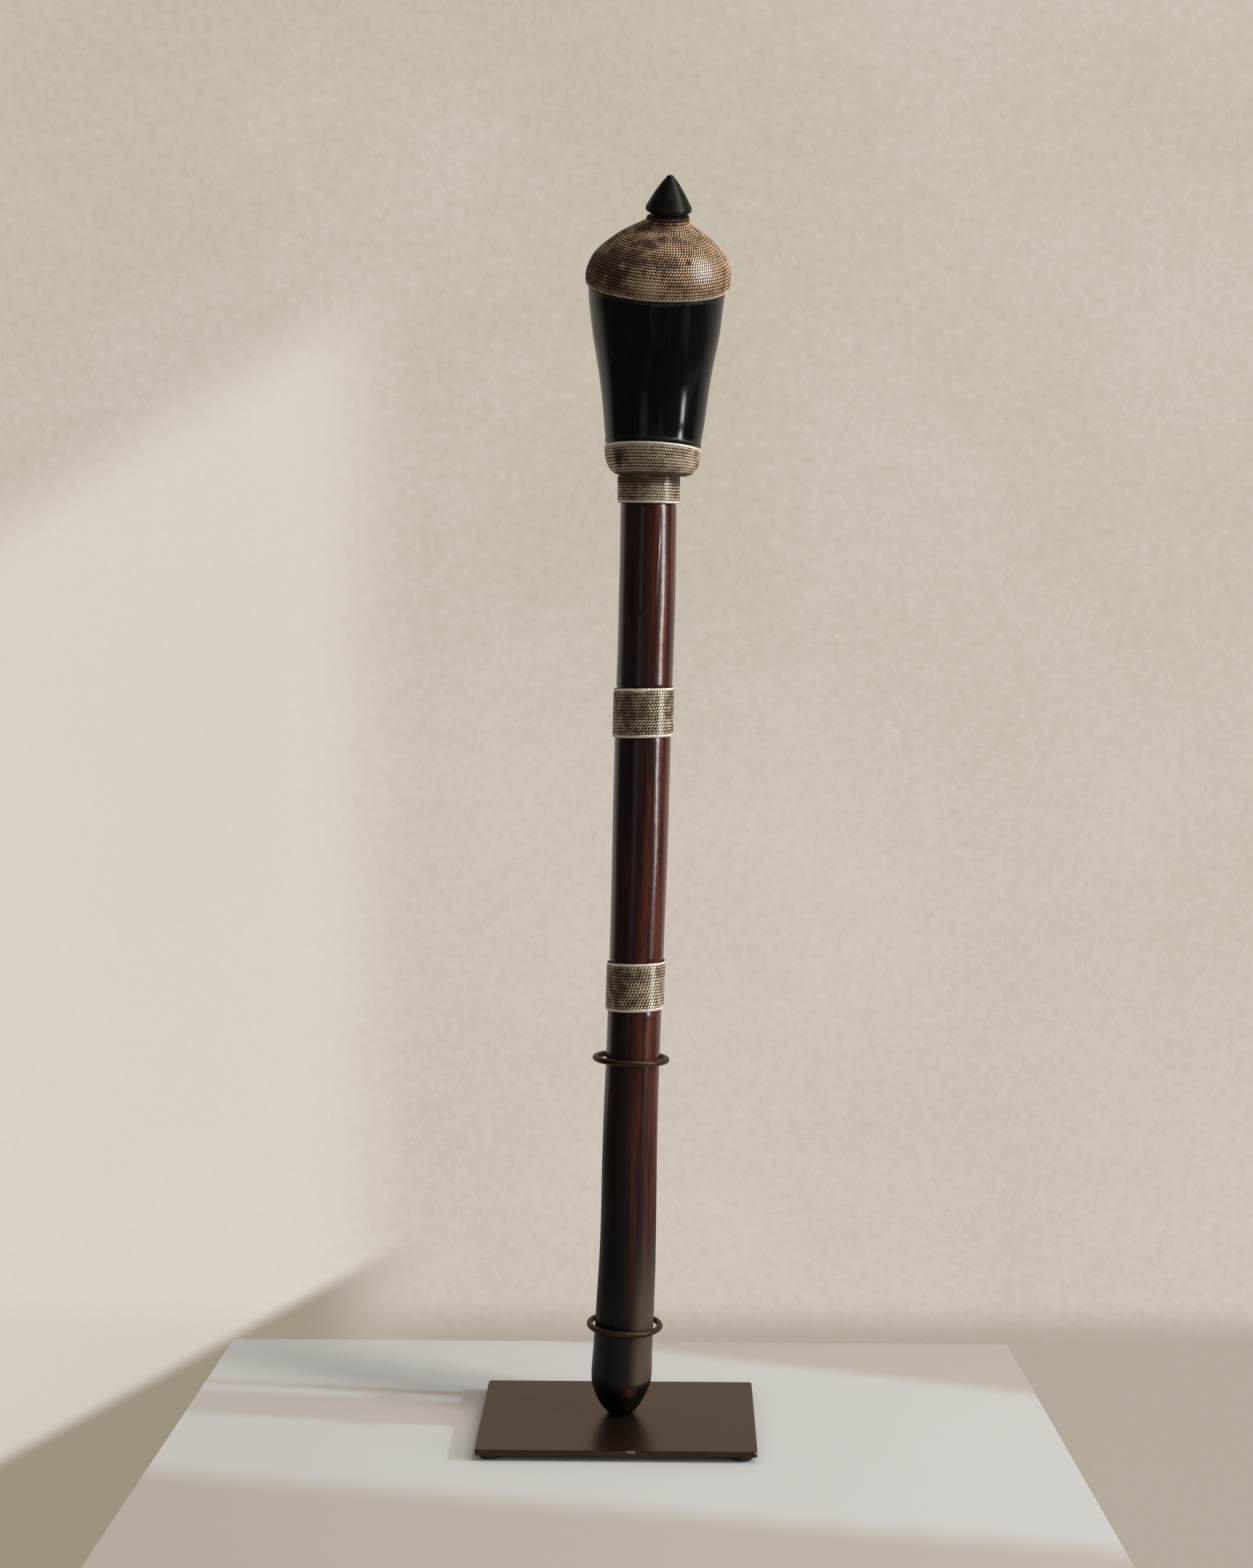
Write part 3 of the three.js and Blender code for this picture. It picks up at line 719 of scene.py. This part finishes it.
def turned_finial():
    """An outline of radius and height turned round the head's leaning axis: a waisted stem,
    a rounded rim and a cone whose sides swell a little towards a blunt tip."""
    centre, right, back = head_section(np.array([FINIAL_FOOT]))
    stem = smooth([[-4.5, 9.3], [-1.5, 9.75], [0.0, 9.65], [1.2, 9.45], [1.9, 9.55], [2.3, 9.9]])
    side = smooth([[4.5, 12.0], [6.6, 10.95], [8.7, 9.85], [13.5, 7.0], [18.1, 3.85], [20.6, 1.9]])
    stem_heights = np.linspace(-4.5, 2.3, 16)
    side_heights = np.linspace(4.7, 20.5, 40)
    outline = np.array([
        *np.column_stack([stem(stem_heights)[:, 0], stem_heights]),
        [10.4, 2.55], [10.9, 2.8],
        *arc_points((11.5, 3.45), 0.6, -62, 18, 8),
        [12.09, 3.95],
        *np.column_stack([side(side_heights)[:, 0], side_heights]),
        *arc_points((0.8, 19.74), 1.4, 40, 86, 7),
    ])
    heights = outline[:, 1:]
    angle = once_round(112)
    radius = outline[:, :1] + 0.05 * swell(angle, heights / 6, 9, 31)
    grid = rings((centre + heights * np.cross(right, back), right, back), radius, angle)
    grain = np.stack([radius * np.cos(angle), radius * np.sin(angle), heights + 0 * angle], axis=-1)
    make_piece("turned_finial", [tube(grid, {"grain": grain})], "finial_wood", "staff", "finial")


# The windings

# Each wire's two strands: half their thickness and width, how far they lie from the wire's
# middle outwards and across the rows, the length in which they turn once round each other, in
# the middle rows and in the edge rows, and the stations in that length.
CAP_WIRE = (0.42, 0.46, 0.44, 0.58, 2.95, 3.6, 5)
COLLAR_WIRE = (0.4, 0.46, 0.4, 0.5, 3.0, 2.3, 7)
BAND_WIRE = (0.44, 0.52, 0.44, 0.56, 3.6, 2.3, 7)
# The corners of a strand's skin, counted from its outside. Its inner side is flat.
STRAND_CORNERS = np.radians([-104, -52, 0, 52, 104])
CAP_TURNS = 30
COLLAR_TURNS = 13
NECK_TURNS = 9
BAND_TURNS = 16
# How far the rows wander up and down, and how far the strands' own turn runs ahead or behind.
ROW_WANDER = 0.10
TWIST_WANDER = 0.7
# Where a wire ends it dives this deep into the wood, in this length.
TUCK_DEPTH = 2.4
TUCK_LENGTH = 3.2
# The height past which a strand is pressed in, as a share of its whole height, how much lower
# that is where rubbing and painted sheen mark it, and the share of the rest that still stands out.
FLAT_FROM = 0.86
RUBBED_BY = 0.3
LEFT_OVER = 0.25


def wound_wire(name, middle, turns, start, wire, look, slot, node_name):
    """Two strands twisted left-handed round each other and wound along a surface.

    The wire's middle is middle(share, angle), where angle = start + 2 pi turns share. A
    strand's own middle is that plus twist cos phase out + spread sin phase up, where phase
    grows by 2 pi in one lay, and its skin is an ellipse round it with a flat inner side,
    pressed in where it stands out furthest. Both ends dive into the wood.
    look(share, angle, point) gives there how tarnished and painted in shade the wire is, and
    how worn by rubbing and painted with sheen."""
    thick, wide, twist, spread, lay, edge_lay, stations = wire
    start = math.radians(start)
    coarse = np.linspace(0, 1, int(turns * 80) + 1)
    line = middle(coarse, start + FULL_TURN * turns * coarse)
    step = np.linalg.norm(np.diff(line, axis=0), axis=1)
    row = coarse * turns
    edge = 1 - ease(np.minimum(row, turns - row), 0.85, 1.05)
    turning = FULL_TURN / (lay + (edge_lay - lay) * edge)
    phase_at = np.concatenate([[0], np.cumsum(step * (turning[1:] + turning[:-1]) / 2)])
    run_at = np.concatenate([[0], np.cumsum(step)])
    count = int(phase_at[-1] / FULL_TURN * stations) + 1
    phase = np.linspace(0, phase_at[-1], count)
    share = np.interp(phase, phase_at, coarse)
    run = np.interp(phase, phase_at, run_at)
    angle = start + FULL_TURN * turns * share
    centre = middle(share, angle)
    small = 0.5 / turns
    across = middle(np.minimum(share + small, 1), angle) - middle(np.maximum(share - small, 0), angle)
    travel = unit(np.gradient(centre, axis=0))
    up = unit(across - (across * travel).sum(axis=1, keepdims=True) * travel)
    out = np.cross(travel, up)
    wander = ROW_WANDER * swell(angle, share * turns / 3.0, 9, 41)
    dive = TUCK_DEPTH * (1 - ease(np.minimum(run, run[-1] - run), 0, TUCK_LENGTH))
    centre = centre + wander[:, None] * up - dive[:, None] * out
    whole = thick + twist
    loose = phase + TWIST_WANDER * swell(0.0 * run, run / 23.0, 3, 42)
    # The look gives how tarnished and painted in shade each point is, and how worn and painted with
    # sheen.
    tarnish, rub = look(share, angle, centre)
    tubes = []
    for half_turn in (0.0, math.pi):
        offset = (twist * np.cos(loose + half_turn)[:, None] * out
                  + spread * np.sin(loose + half_turn)[:, None] * up)
        strand = centre + offset
        forward = unit(np.gradient(strand, axis=0))
        beside = unit(np.cross(forward, offset))
        away = np.cross(beside, forward)
        grid = rings((strand, thick * away, wide * beside), 1.0, STRAND_CORNERS)
        crest = ((grid - centre[:, None]) * out[:, None]).sum(axis=2)
        limit = whole * (FLAT_FROM - RUBBED_BY * rub)[:, None]
        pressed = np.where(crest > limit, limit + LEFT_OVER * (crest - limit), crest)
        grid = grid + (pressed - crest)[..., None] * out[:, None]
        tubes.append(tube(grid, {
            "grain": grid,
            "crest": crest / whole,
            "tarnish": tarnish[:, None] + 0 * crest,
            "rub": rub[:, None] + 0 * crest,
        }))
    make_piece(name, tubes, slot, "staff", node_name)


def on_shaft(band):
    """The middle of a band's wire: the shaft's outline and a little more, on rows that rise
    by the band's slopes."""
    right, back = band["rise"]

    def middle(share, angle):
        level = band["bottom"] + share * (band["top"] - band["bottom"])
        radius = shaft_outline(level)[..., 0] + band["stand_out"]
        height = level + radius * (right * np.cos(angle) + back * np.sin(angle))
        return on_section(shaft_section(height), radius, angle)

    return middle


def on_head(path, climb=0.0):
    """The middle of the wire on the head: a path of height and radius on leaning sections.
    Its last rows climb that much higher in front and lower behind."""
    def middle(share, angle):
        height, radius = path(share)
        height = height - climb * np.sin(angle) * ease(share, 0.85, 1.0)
        return on_section(head_section(height), radius, angle)

    return middle


def spots(points, marks):
    """Sum of strength exp(-(distance / size)²) over marks on the head, each given as height,
    angle in degrees, size and strength."""
    total = np.zeros(len(points))
    heights, radii = cap_path(np.linspace(0, 1, 400))
    for height, degrees, size, strength in marks:
        on_cap = height >= heights[0]
        radius = np.interp(height, heights, radii) if on_cap else COLLAR_PATH[-1][1]
        place = on_section(head_section(np.array([height])), np.array([radius]),
                           np.array([math.radians(degrees)]))
        total += strength * hump(np.linalg.norm(points - place, axis=1), size)
    return total


def cap_look(share, angle, points):
    """Painted shade on the left, the side away from the light, with dark patches there and in
    the upper middle, painted shade in the last row at the stem under the finial, patches worn
    by rubbing between them and along the rim, and a painted sheen at the right front."""
    # Painted shade on the left, the side away from the light.
    left = 0.5 - 0.5 * np.cos(angle - math.radians(-25))
    cloud = swell(angle, share * 7, 11, 51)
    dark = spots(points, [
        (637.9, -131, 8.5, 0.6), (637.5, -145, 6.0, 0.4), (649.6, -110, 3.0, 0.8),
        (652.0, -95, 2.4, 0.7), (654.5, -146, 5.0, 0.1), (643.4, -64, 1.5, 1.2),
        (643.9, -85, 3.0, 0.3), (628.0, 100, 12.0, 0.5), (640.0, 30, 9.0, 0.4),
    ])
    # Spots worn by rubbing; the one at 640.2 mm and -52 degrees is a painted sheen where the light's
    # reflection falls.
    rub_and_sheen_spots = spots(points, [
        (653.5, -117, 3.2, 0.5), (639.9, -126, 2.2, 0.5), (632.2, -138, 5.0, 0.6),
        (632.7, -113, 5.0, 0.5), (632.0, -96, 6.0, 0.6), (640.2, -52, 8.5, 1.0),
        (648.0, -77, 5.0, 0.3), (626.0, 30, 6.0, 0.6),
    ])
    row = share * CAP_TURNS
    rub_and_sheen_spots = rub_and_sheen_spots + 0.5 * (1 - ease(row, 0.8, 1.6))
    # Painted shade in the last row, under the finial's rim, and less painted shade on the left in the
    # upper rows.
    dark = dark + ease(row, CAP_TURNS - 1.7, CAP_TURNS - 0.9)
    left = left * (1 - 0.6 * ease(share, 0.5, 0.9))
    return 0.06 + 0.6 * left + 0.22 * cloud + dark, np.clip(rub_and_sheen_spots, 0, 1)


def collar_look(share, angle, points):
    """Dark in patches at the left and in one gap in front, with painted shade in the crease under
    it and at the right, and worn by rubbing along the upper edge and round the bulge."""
    cloud = swell(angle, share * 4, 13, 52)
    row = share * COLLAR_TURNS
    # The lowest rows, in the crease over the neck, get painted shade.
    crease = 1 - ease(row, 1.6, 3.6)
    dark = spots(points, [(533.2, -134, 3.2, 1.6), (530.8, -139, 2.8, 1.2), (537.0, -80, 4.0, 0.35)])
    edge = ease(row, COLLAR_TURNS - 1.1, COLLAR_TURNS - 0.6)
    rub = np.clip(0.7 * edge + 0.25 * (1 - crease), 0, 1)
    # Painted shade at the right.
    aside = 0.4 * hump(arc_from(angle, 0, 25.0), 22.0)
    return 0.18 + 0.25 * cloud + dark + 1.1 * crease + aside, rub


def band_look(turns, patch, crease, seed):
    """Painted shade in a broad patch left of the middle, at the right and in a crease along the
    top, worn by rubbing along the open edges, and a painted highlight in a narrow upright
    strip right of the middle."""
    def look(share, angle, points):
        cloud = swell(angle, share * 4, 9, seed)
        # Painted shade in a broad patch left of the middle, and at the right.
        shaded = patch * hump(arc_from(angle, -118, 16.0), 9.0)
        aside = 0.25 * hump(arc_from(angle, -5, 16.0), 11.0)
        row = share * turns
        # Painted shade along the top rows, where a crease lies under the collar.
        painted_crease_shade = crease * ease(row, turns - 3.0, turns - 1.0)
        edge = 1 - ease(np.minimum(row, turns - row + 9 * crease), 0.85, 1.15)
        # A painted highlight in a narrow upright strip, where the light's reflection runs.
        painted_highlight_strip = hump(arc_from(angle, -53, 16.0), 1.5)
        rub = np.clip(0.65 * edge + painted_highlight_strip + 0.1, 0, 1)
        return 0.16 + 0.25 * cloud + shaded + painted_crease_shade + aside, rub

    return look


def band_end():
    """The upper band's spare end: a short length of the wire that leaves its edge row, dips
    in a shallow arc and joins it again, so that a narrow eye stays open between them."""
    share = np.linspace(0, 1, 60)
    angle = np.radians(-121 + 42 * share)
    level = UPPER_BAND["top"] - 0.35 - 1.25 * np.sin(math.pi * share) ** 0.7
    radius = shaft_outline(level)[..., 0] + 1.3 - 0.6 * (2 * share - 1) ** 2
    height = level + radius * UPPER_BAND["rise"][1] * np.sin(angle)
    centre = on_section(shaft_section(height), radius, angle)
    forward = unit(np.gradient(centre, axis=0))
    side = unit(np.cross(forward, centre - shaft_section(centre[:, 2])[0]))
    turn = once_round(10)
    thick = (0.5 + 0.06 * np.sin(share * 70))[:, None]
    grid = rings((centre, np.cross(side, forward), side), thick, turn)
    ones = np.ones(grid.shape[:2])
    values = {"grain": grid, "crest": 0.4 + 0.6 * np.cos(turn) * ones, "tarnish": 0.1 * ones,
              "rub": 0.5 * ones}
    make_piece("upper_band_spare_end", [tube(grid, values)], "silver_wire", "staff")


# The stand

def ring_place(ring, points):
    """Points of a ring's own frame, tipped up in front by its lift and down to the right by
    its roll, then moved to its centre."""
    tip = Matrix.Rotation(math.radians(-ring["lift"]), 3, "X")
    lean = Matrix.Rotation(math.radians(ring["roll"]), 3, "Y")
    return points @ np.array(tip @ lean).T + np.array(ring["centre"])


def holding_ring(node_name, ring, seed):
    """A rod bent into a hoop, (line + rod cos side) out from the middle and rod sin side up,
    and a straight tang to the post that thickens into a bead of weld at both ends."""
    turn, side = once_round(144)[:, None], once_round(24)
    rod = ROD + 0.03 * swell(turn, 3 * side / FULL_TURN, 20, seed)
    reach = ROD_LINE + rod * np.cos(side)
    hoop = np.stack([reach * np.sin(turn), reach * np.cos(turn), rod * np.sin(side) + 0 * turn],
                    axis=-1)
    x = POST["x"] - ring["centre"][0]
    start = math.sqrt(ROD_LINE**2 - x**2)
    end = POST["y"] - ring["centre"][1]
    along = start + (end - start) * np.linspace(0, 1, 60)[:, None]
    weld = np.exp(-(along - start - ROD) / 0.9) + np.exp(-(end - POST["radius"] - along) / 0.9)
    lump = 1 + 0.25 * swell(side, along / 0.8, 7, seed + 1)
    thick = ROD + 0.75 * np.clip(weld, 0, 1.2) * lump
    tang = np.stack([x + thick * np.sin(side), along + 0 * side, thick * np.cos(side)], axis=-1)
    tubes = [tube(ring_place(ring, hoop), loop=True), tube(ring_place(ring, tang))]
    make_piece("bent_" + node_name, tubes, "black_steel", "stand", node_name)


def turned(name, outline, place, sides, slot, node_name):
    """An outline of radius and height turned round an upright line."""
    outline = np.array(outline, float)
    angle = once_round(sides)
    grid = np.stack([
        place[0] + outline[:, :1] * np.cos(angle),
        place[1] + outline[:, :1] * np.sin(angle),
        outline[:, 1:] + 0 * angle,
    ], axis=-1)
    make_piece(name, [tube(grid)], slot, "stand", node_name)


def round_post():
    """A straight rod with a chamfered foot and a rounded top."""
    radius, top = POST["radius"], POST["top"]
    foot = PLATE["top"] + 0.05
    outline = [
        [radius - 0.4, foot],
        [radius, foot + 0.4],
        *[[radius, height] for height in np.linspace(foot + 4, top - 4, 30)],
        *arc_points((radius - 1.6, top - 1.6), 1.6, 0, 90, 8),
    ]
    turned("round_post", outline, (POST["x"], POST["y"]), 40, "black_steel", "post")


def rounded_rectangle(half_width, half_depth, corner, steps, straight):
    """Points anticlockwise round a rectangle with round corners, from the right-hand side."""
    signs = ((1, 1), (-1, 1), (-1, -1), (1, -1))
    arcs = [
        arc_points((x * (half_width - corner), y * (half_depth - corner)), corner,
                   90 * quarter, 90 * quarter + 90, steps)
        for quarter, (x, y) in enumerate(signs)
    ]
    sides = [np.linspace(arc[-1], following[0], straight + 1)[1:-1]
             for arc, following in zip(arcs, arcs[1:] + arcs[:1])]
    return np.concatenate([part for pair in zip(arcs, sides) for part in pair])


def steel_plate():
    """A rounded rectangle carried through the plate's edge: from the middle of the underside,
    round the lower and upper arris, to the middle of the top. The front arris is rubbed bare
    near the middle and at the right-hand corner."""
    low, high, arris = PLATE["bottom"], PLATE["top"], PLATE["arris"]
    edge = [
        (45, low), (6, low), (0.9, low),
        *arc_points((arris, low + arris), arris, -90, -180, 6),
        *arc_points((arris, high - arris), arris, 180, 90, 6),
        (0.9, high), (6, high), (45, high),
    ]
    plate_rings, sharp = [], []
    for inset, height in edge:
        corner = max(PLATE["corner"] - inset, 0.2)
        outline = rounded_rectangle(PLATE["width"] / 2 - inset, PLATE["depth"] / 2 - inset,
                                    corner, 9, 48)
        plate_rings.append(np.column_stack([outline, np.full(len(outline), height)]))
        sharp.append(np.full(len(outline), 1.0 if inset < arris else 0.0))
    grid = np.array(plate_rings)
    front = hump(grid[..., 1] + PLATE["depth"] / 2, 1.2) * hump(grid[..., 2] - high, 0.9)
    worn = front * (0.5 * hump(grid[..., 0] - 7.5, 4.6) + 0.25 * hump(grid[..., 0] + 12, 1.0))
    from_corner = np.linalg.norm(grid - np.array([75.5, -50.2, 5.6]), axis=-1)
    values = {
        "edge": np.array(sharp),
        "wear": worn + 0.45 * hump(from_corner, 1.3),
        "top": ease(grid[..., 2], high - 0.6, high - 0.1),
    }
    make_piece("steel_plate", [tube(grid, values)], "black_steel", "stand", "base_plate")


def rubber_feet():
    """Four buttons with rounded lower edges, one under each corner of the plate."""
    radius, height = FOOT["radius"], FOOT["height"]
    outline = [
        *arc_points((radius - 1.5, 0.9), 0.9, -90, -20, 7),
        [radius - 0.4, height * 0.6],
        [radius - 0.05, height - 0.25],
        [radius - 0.3, height],
    ]
    x = PLATE["width"] / 2 - FOOT["inset"]
    y = PLATE["depth"] / 2 - FOOT["inset"]
    for end, back in (("front", -y), ("back", y)):
        for side, right in (("left", -x), ("right", x)):
            corner = f"{end}_{side}"
            turned(corner + "_button", outline, (right, back), 48, "foot_rubber", corner + "_foot")


# Making the pieces

red_wood_finish()
black_wood_finish()
finial_wood_finish()
# The third tint of each wire is its bare metal, and also the pale painted sheen where the light's
# reflection falls.
wire_finish("copper_wire", (184, 149, 112), (92, 52, 26), (222, 210, 194), (58, 38, 24))
wire_finish("silver_wire", (188, 166, 137), (108, 82, 57), (220, 210, 196), (52, 38, 26))
black_steel_finish()
rubber_finish()
screw_finish()

carved_shaft()
black_head()
turned_finial()
wound_wire("cap_wire", on_head(cap_rows, 0.6), CAP_TURNS, 100, CAP_WIRE, cap_look, "copper_wire",
           "cap_winding")
wound_wire("collar_wire", on_head(collar_rows), COLLAR_TURNS, 120, COLLAR_WIRE, collar_look,
           "silver_wire", "collar_winding")
for node_name, band, wire, turns, start, patch, crease in (
    ("neck_winding", NECK, COLLAR_WIRE, NECK_TURNS, 90, 0.35, 0.9),
    ("upper_band", UPPER_BAND, BAND_WIRE, BAND_TURNS, 95, 0.4, 0.0),
    ("lower_band", LOWER_BAND, BAND_WIRE, BAND_TURNS, 110, 0.4, 0.0),
):
    wound_wire(node_name.removesuffix("_winding") + "_wire", on_shaft(band), turns, start, wire,
               band_look(turns, patch, crease, 50 + start), "silver_wire", node_name)
band_end()
holding_ring("lower_ring", LOWER_RING, 61)
holding_ring("upper_ring", UPPER_RING, 62)
round_post()
steel_plate()
rubber_feet()
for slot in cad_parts["post_screw"].material_slots:
    slot.material = FINISHES["screw_steel"]


# The table, the wall, the lamps and the camera

def stage_sheet(name, corners, faces):
    mesh = bpy.data.meshes.new(name)
    mesh.from_pydata(corners, [], faces)
    mesh.materials.append(FINISHES[name])
    sheet = bpy.data.objects.new(name, mesh)
    bpy.context.scene.collection.objects.link(sheet)


def wall_finish():
    """Warm plaster with faint clouds and a fine rough skin. A patch of sunlight is painted on its
    left part, below one slanting edge and above another, with painted shadow below that one,
    and painted shade darkens it just above the table. It shows its colour to the camera, dimmer
    in reflections and dimmest at its sides there, and is clear from behind."""
    tree, shader = new_finish("wall")
    place = object_place(tree)
    right, _, height = split_place(place)
    cloud = fade(noise(place, 3.0, 5.0, 0.6), 0.3, 0.7)
    grit = noise(place, 210.0, 3.0, 0.6)
    shade = plus(grit, scaled(cloud, 0.4, -0.3))
    shade = plus(shade, fade(height, 0.9, 0.1, 0.0, 0.35))
    colour = mixed(shade, tint(186, 175, 156), tint(208, 199, 189))
    # Painted shade just above the table.
    colour = mixed(fade(height, 0.0, 0.03, 0.85, 0.0), colour, tint(168, 157, 143))
    # A painted patch of sunlight on the left, with painted shadow below its lower edge.
    left = fade(right, -0.2, -0.11, 1.0, 0.0)
    top_edge = fade(scaled(right, -0.617, height), 0.69, 0.755, 1.0, 0.0)
    low_edge = fade(scaled(right, -0.555, height), 0.128, 0.142)
    sunny = times(times(left, top_edge), 0.78)
    colour = mixed(sunny, colour, tint(222, 217, 206))
    colour = mixed(times(left, minus(1.0, low_edge)), colour, tint(158, 146, 129))
    aside = fade(maths("ABSOLUTE", right), 0.08, 0.46, 0.24, 0.8)
    gloss = times(source(tree, "ShaderNodeLightPath", "Is Glossy Ray"), aside)
    fill(shader.inputs, {
        "Base Color": tint(64, 60, 54),
        "Roughness": 0.95,
        "Normal": raised(grit, 0.0004),
        "Emission Color": colour,
        "Emission Strength": minus(0.92, gloss),
    })
    clear = source(tree, "ShaderNodeBsdfTransparent", "BSDF")
    behind = source(tree, "ShaderNodeNewGeometry", "Backfacing")
    both = node("ShaderNodeMixShader", {0: behind, 1: shader.outputs[0], 2: clear})[0]
    fill(tree.nodes["Material Output"].inputs, {"Surface": both})


def plinth_finish():
    """Pale painted board, a little uneven, lit between two slanting edges of shade."""
    tree, shader = new_finish("plinth")
    place = object_place(tree)
    right, back, _ = split_place(place)
    colour = mixed(noise(place, 4.0, 4.0), tint(174, 170, 165), tint(182, 177, 173))
    lit = fade(scaled(right, 0.173, back), -0.126, -0.092)
    far = fade(scaled(right, 0.3, back), 0.112, 0.134, 1.0, 0.0)
    colour = mixed(times(lit, far), tint(164, 154, 144), colour)
    fill(shader.inputs, {"Base Color": colour, "Roughness": 0.7})


def wall_and_plinth():
    """One flat sheet behind, and a block whose top is the floor under the stand."""
    half, behind, deep, high = 0.46, 0.132, -0.9, 1.4
    corners = [(-half, behind, deep), (half, behind, deep), (half, behind, high),
               (-half, behind, high)]
    stage_sheet("wall", corners, [(0, 1, 2, 3)])
    outline = [(-0.269, -0.46), (0.272, -0.46), (0.235, behind), (-0.24, behind)]
    corners = [(x, y, z) for z in (deep, 0.0) for x, y in outline]
    faces = [(4, 5, 6, 7), (0, 1, 5, 4), (1, 2, 6, 5), (2, 3, 7, 6), (3, 0, 4, 7)]
    stage_sheet("plinth", corners, faces)


def looking(place, forward):
    """A place, and the turn that looks forward from it with its top up."""
    forward = unit(np.array(forward, float))
    right = unit(np.cross(forward, [0.0, 0, 1]))
    turn = np.column_stack([right, np.cross(right, forward), -forward])
    return Matrix.Translation(place) @ Matrix(turn.tolist()).to_4x4()


def lamp(name, azimuth, distance, height, aim, size, power, colour, in_gloss=True):
    """A soft rectangular lamp that looks towards an aim, from an azimuth that is counted from
    the viewer's side towards the right."""
    data = bpy.data.lights.new(name, "AREA")
    data.shape = "RECTANGLE"
    data.size, data.size_y = size
    data.energy = power
    data.color = colour
    data.spread = math.radians(120)
    turn = math.radians(azimuth)
    place = (0.01 + distance * math.sin(turn), 0.01 - distance * math.cos(turn), height)
    made = bpy.data.objects.new(name, data)
    made.matrix_world = looking(place, np.array(aim) - np.array(place))
    made.visible_camera = False
    made.visible_glossy = in_gloss
    bpy.context.scene.collection.objects.link(made)


def room_light():
    """A dim even room. The camera sees it pale, and gloss sees it pale from behind the
    object and dark in front."""
    world = bpy.data.worlds.new("room")
    bpy.context.scene.world = world
    world.use_nodes = True
    tree = world.node_tree
    way = source(tree, "ShaderNodeTexCoord", "Generated")
    pale_behind = fade(split_place(way)[1], 0.28, 0.4, 0.03, 0.55)
    gloss, seen = (source(tree, "ShaderNodeLightPath", f"Is {ray} Ray") for ray in ("Glossy", "Camera"))
    strength = mixed(gloss, (0.5, 0.5, 0.5, 1.0), pale_behind)
    strength = mixed(seen, strength, (0.6, 0.6, 0.6, 1.0))
    fill(tree.nodes["Background"].inputs,
         {"Strength": strength, "Color": tint(255, 248, 238)})


def set_camera(place, pitch, turn):
    """Stands the camera at a place, looking down by its pitch and left by its turn."""
    data = bpy.data.cameras.new("camera")
    data.sensor_fit = "VERTICAL"
    data.sensor_height = 36.0
    data.lens = 53.35
    data.clip_start = 0.05
    camera = bpy.data.objects.new("camera", data)
    level = math.cos(pitch)
    forward = (-math.sin(turn) * level, math.cos(turn) * level, -math.sin(pitch))
    camera.matrix_world = looking(place, forward)
    bpy.context.scene.collection.objects.link(camera)
    bpy.context.scene.camera = camera


wall_finish()
plinth_finish()
wall_and_plinth()
lamp("window", 67, 2.6, 1.6, (0.01, 0.01, 0.4), (0.46, 4.0), 48.0, (1.0, 0.97, 0.93))
lamp("sky", 68, 0.95, 2.9, (0.01, 0.01, 0.6), (0.7, 0.7), 9.5, (0.97, 0.98, 1.0))
lamp("low_sun", 84, 2.6, 1.1, (0.0, 0.0, 0.2), (0.1, 0.16), 27.0, (0.62, 0.82, 1.0), in_gloss=False)
lamp("doorway", -24, 2.6, 0.5, (0.0, 0.0, 0.45), (0.65, 1.4), 0.3, (0.72, 0.82, 1.0))
room_light()
set_camera((0.0299, -1.2451, 0.5079), math.radians(6.747), math.radians(1.159))
bpy.context.scene.view_settings.view_transform = "Standard"
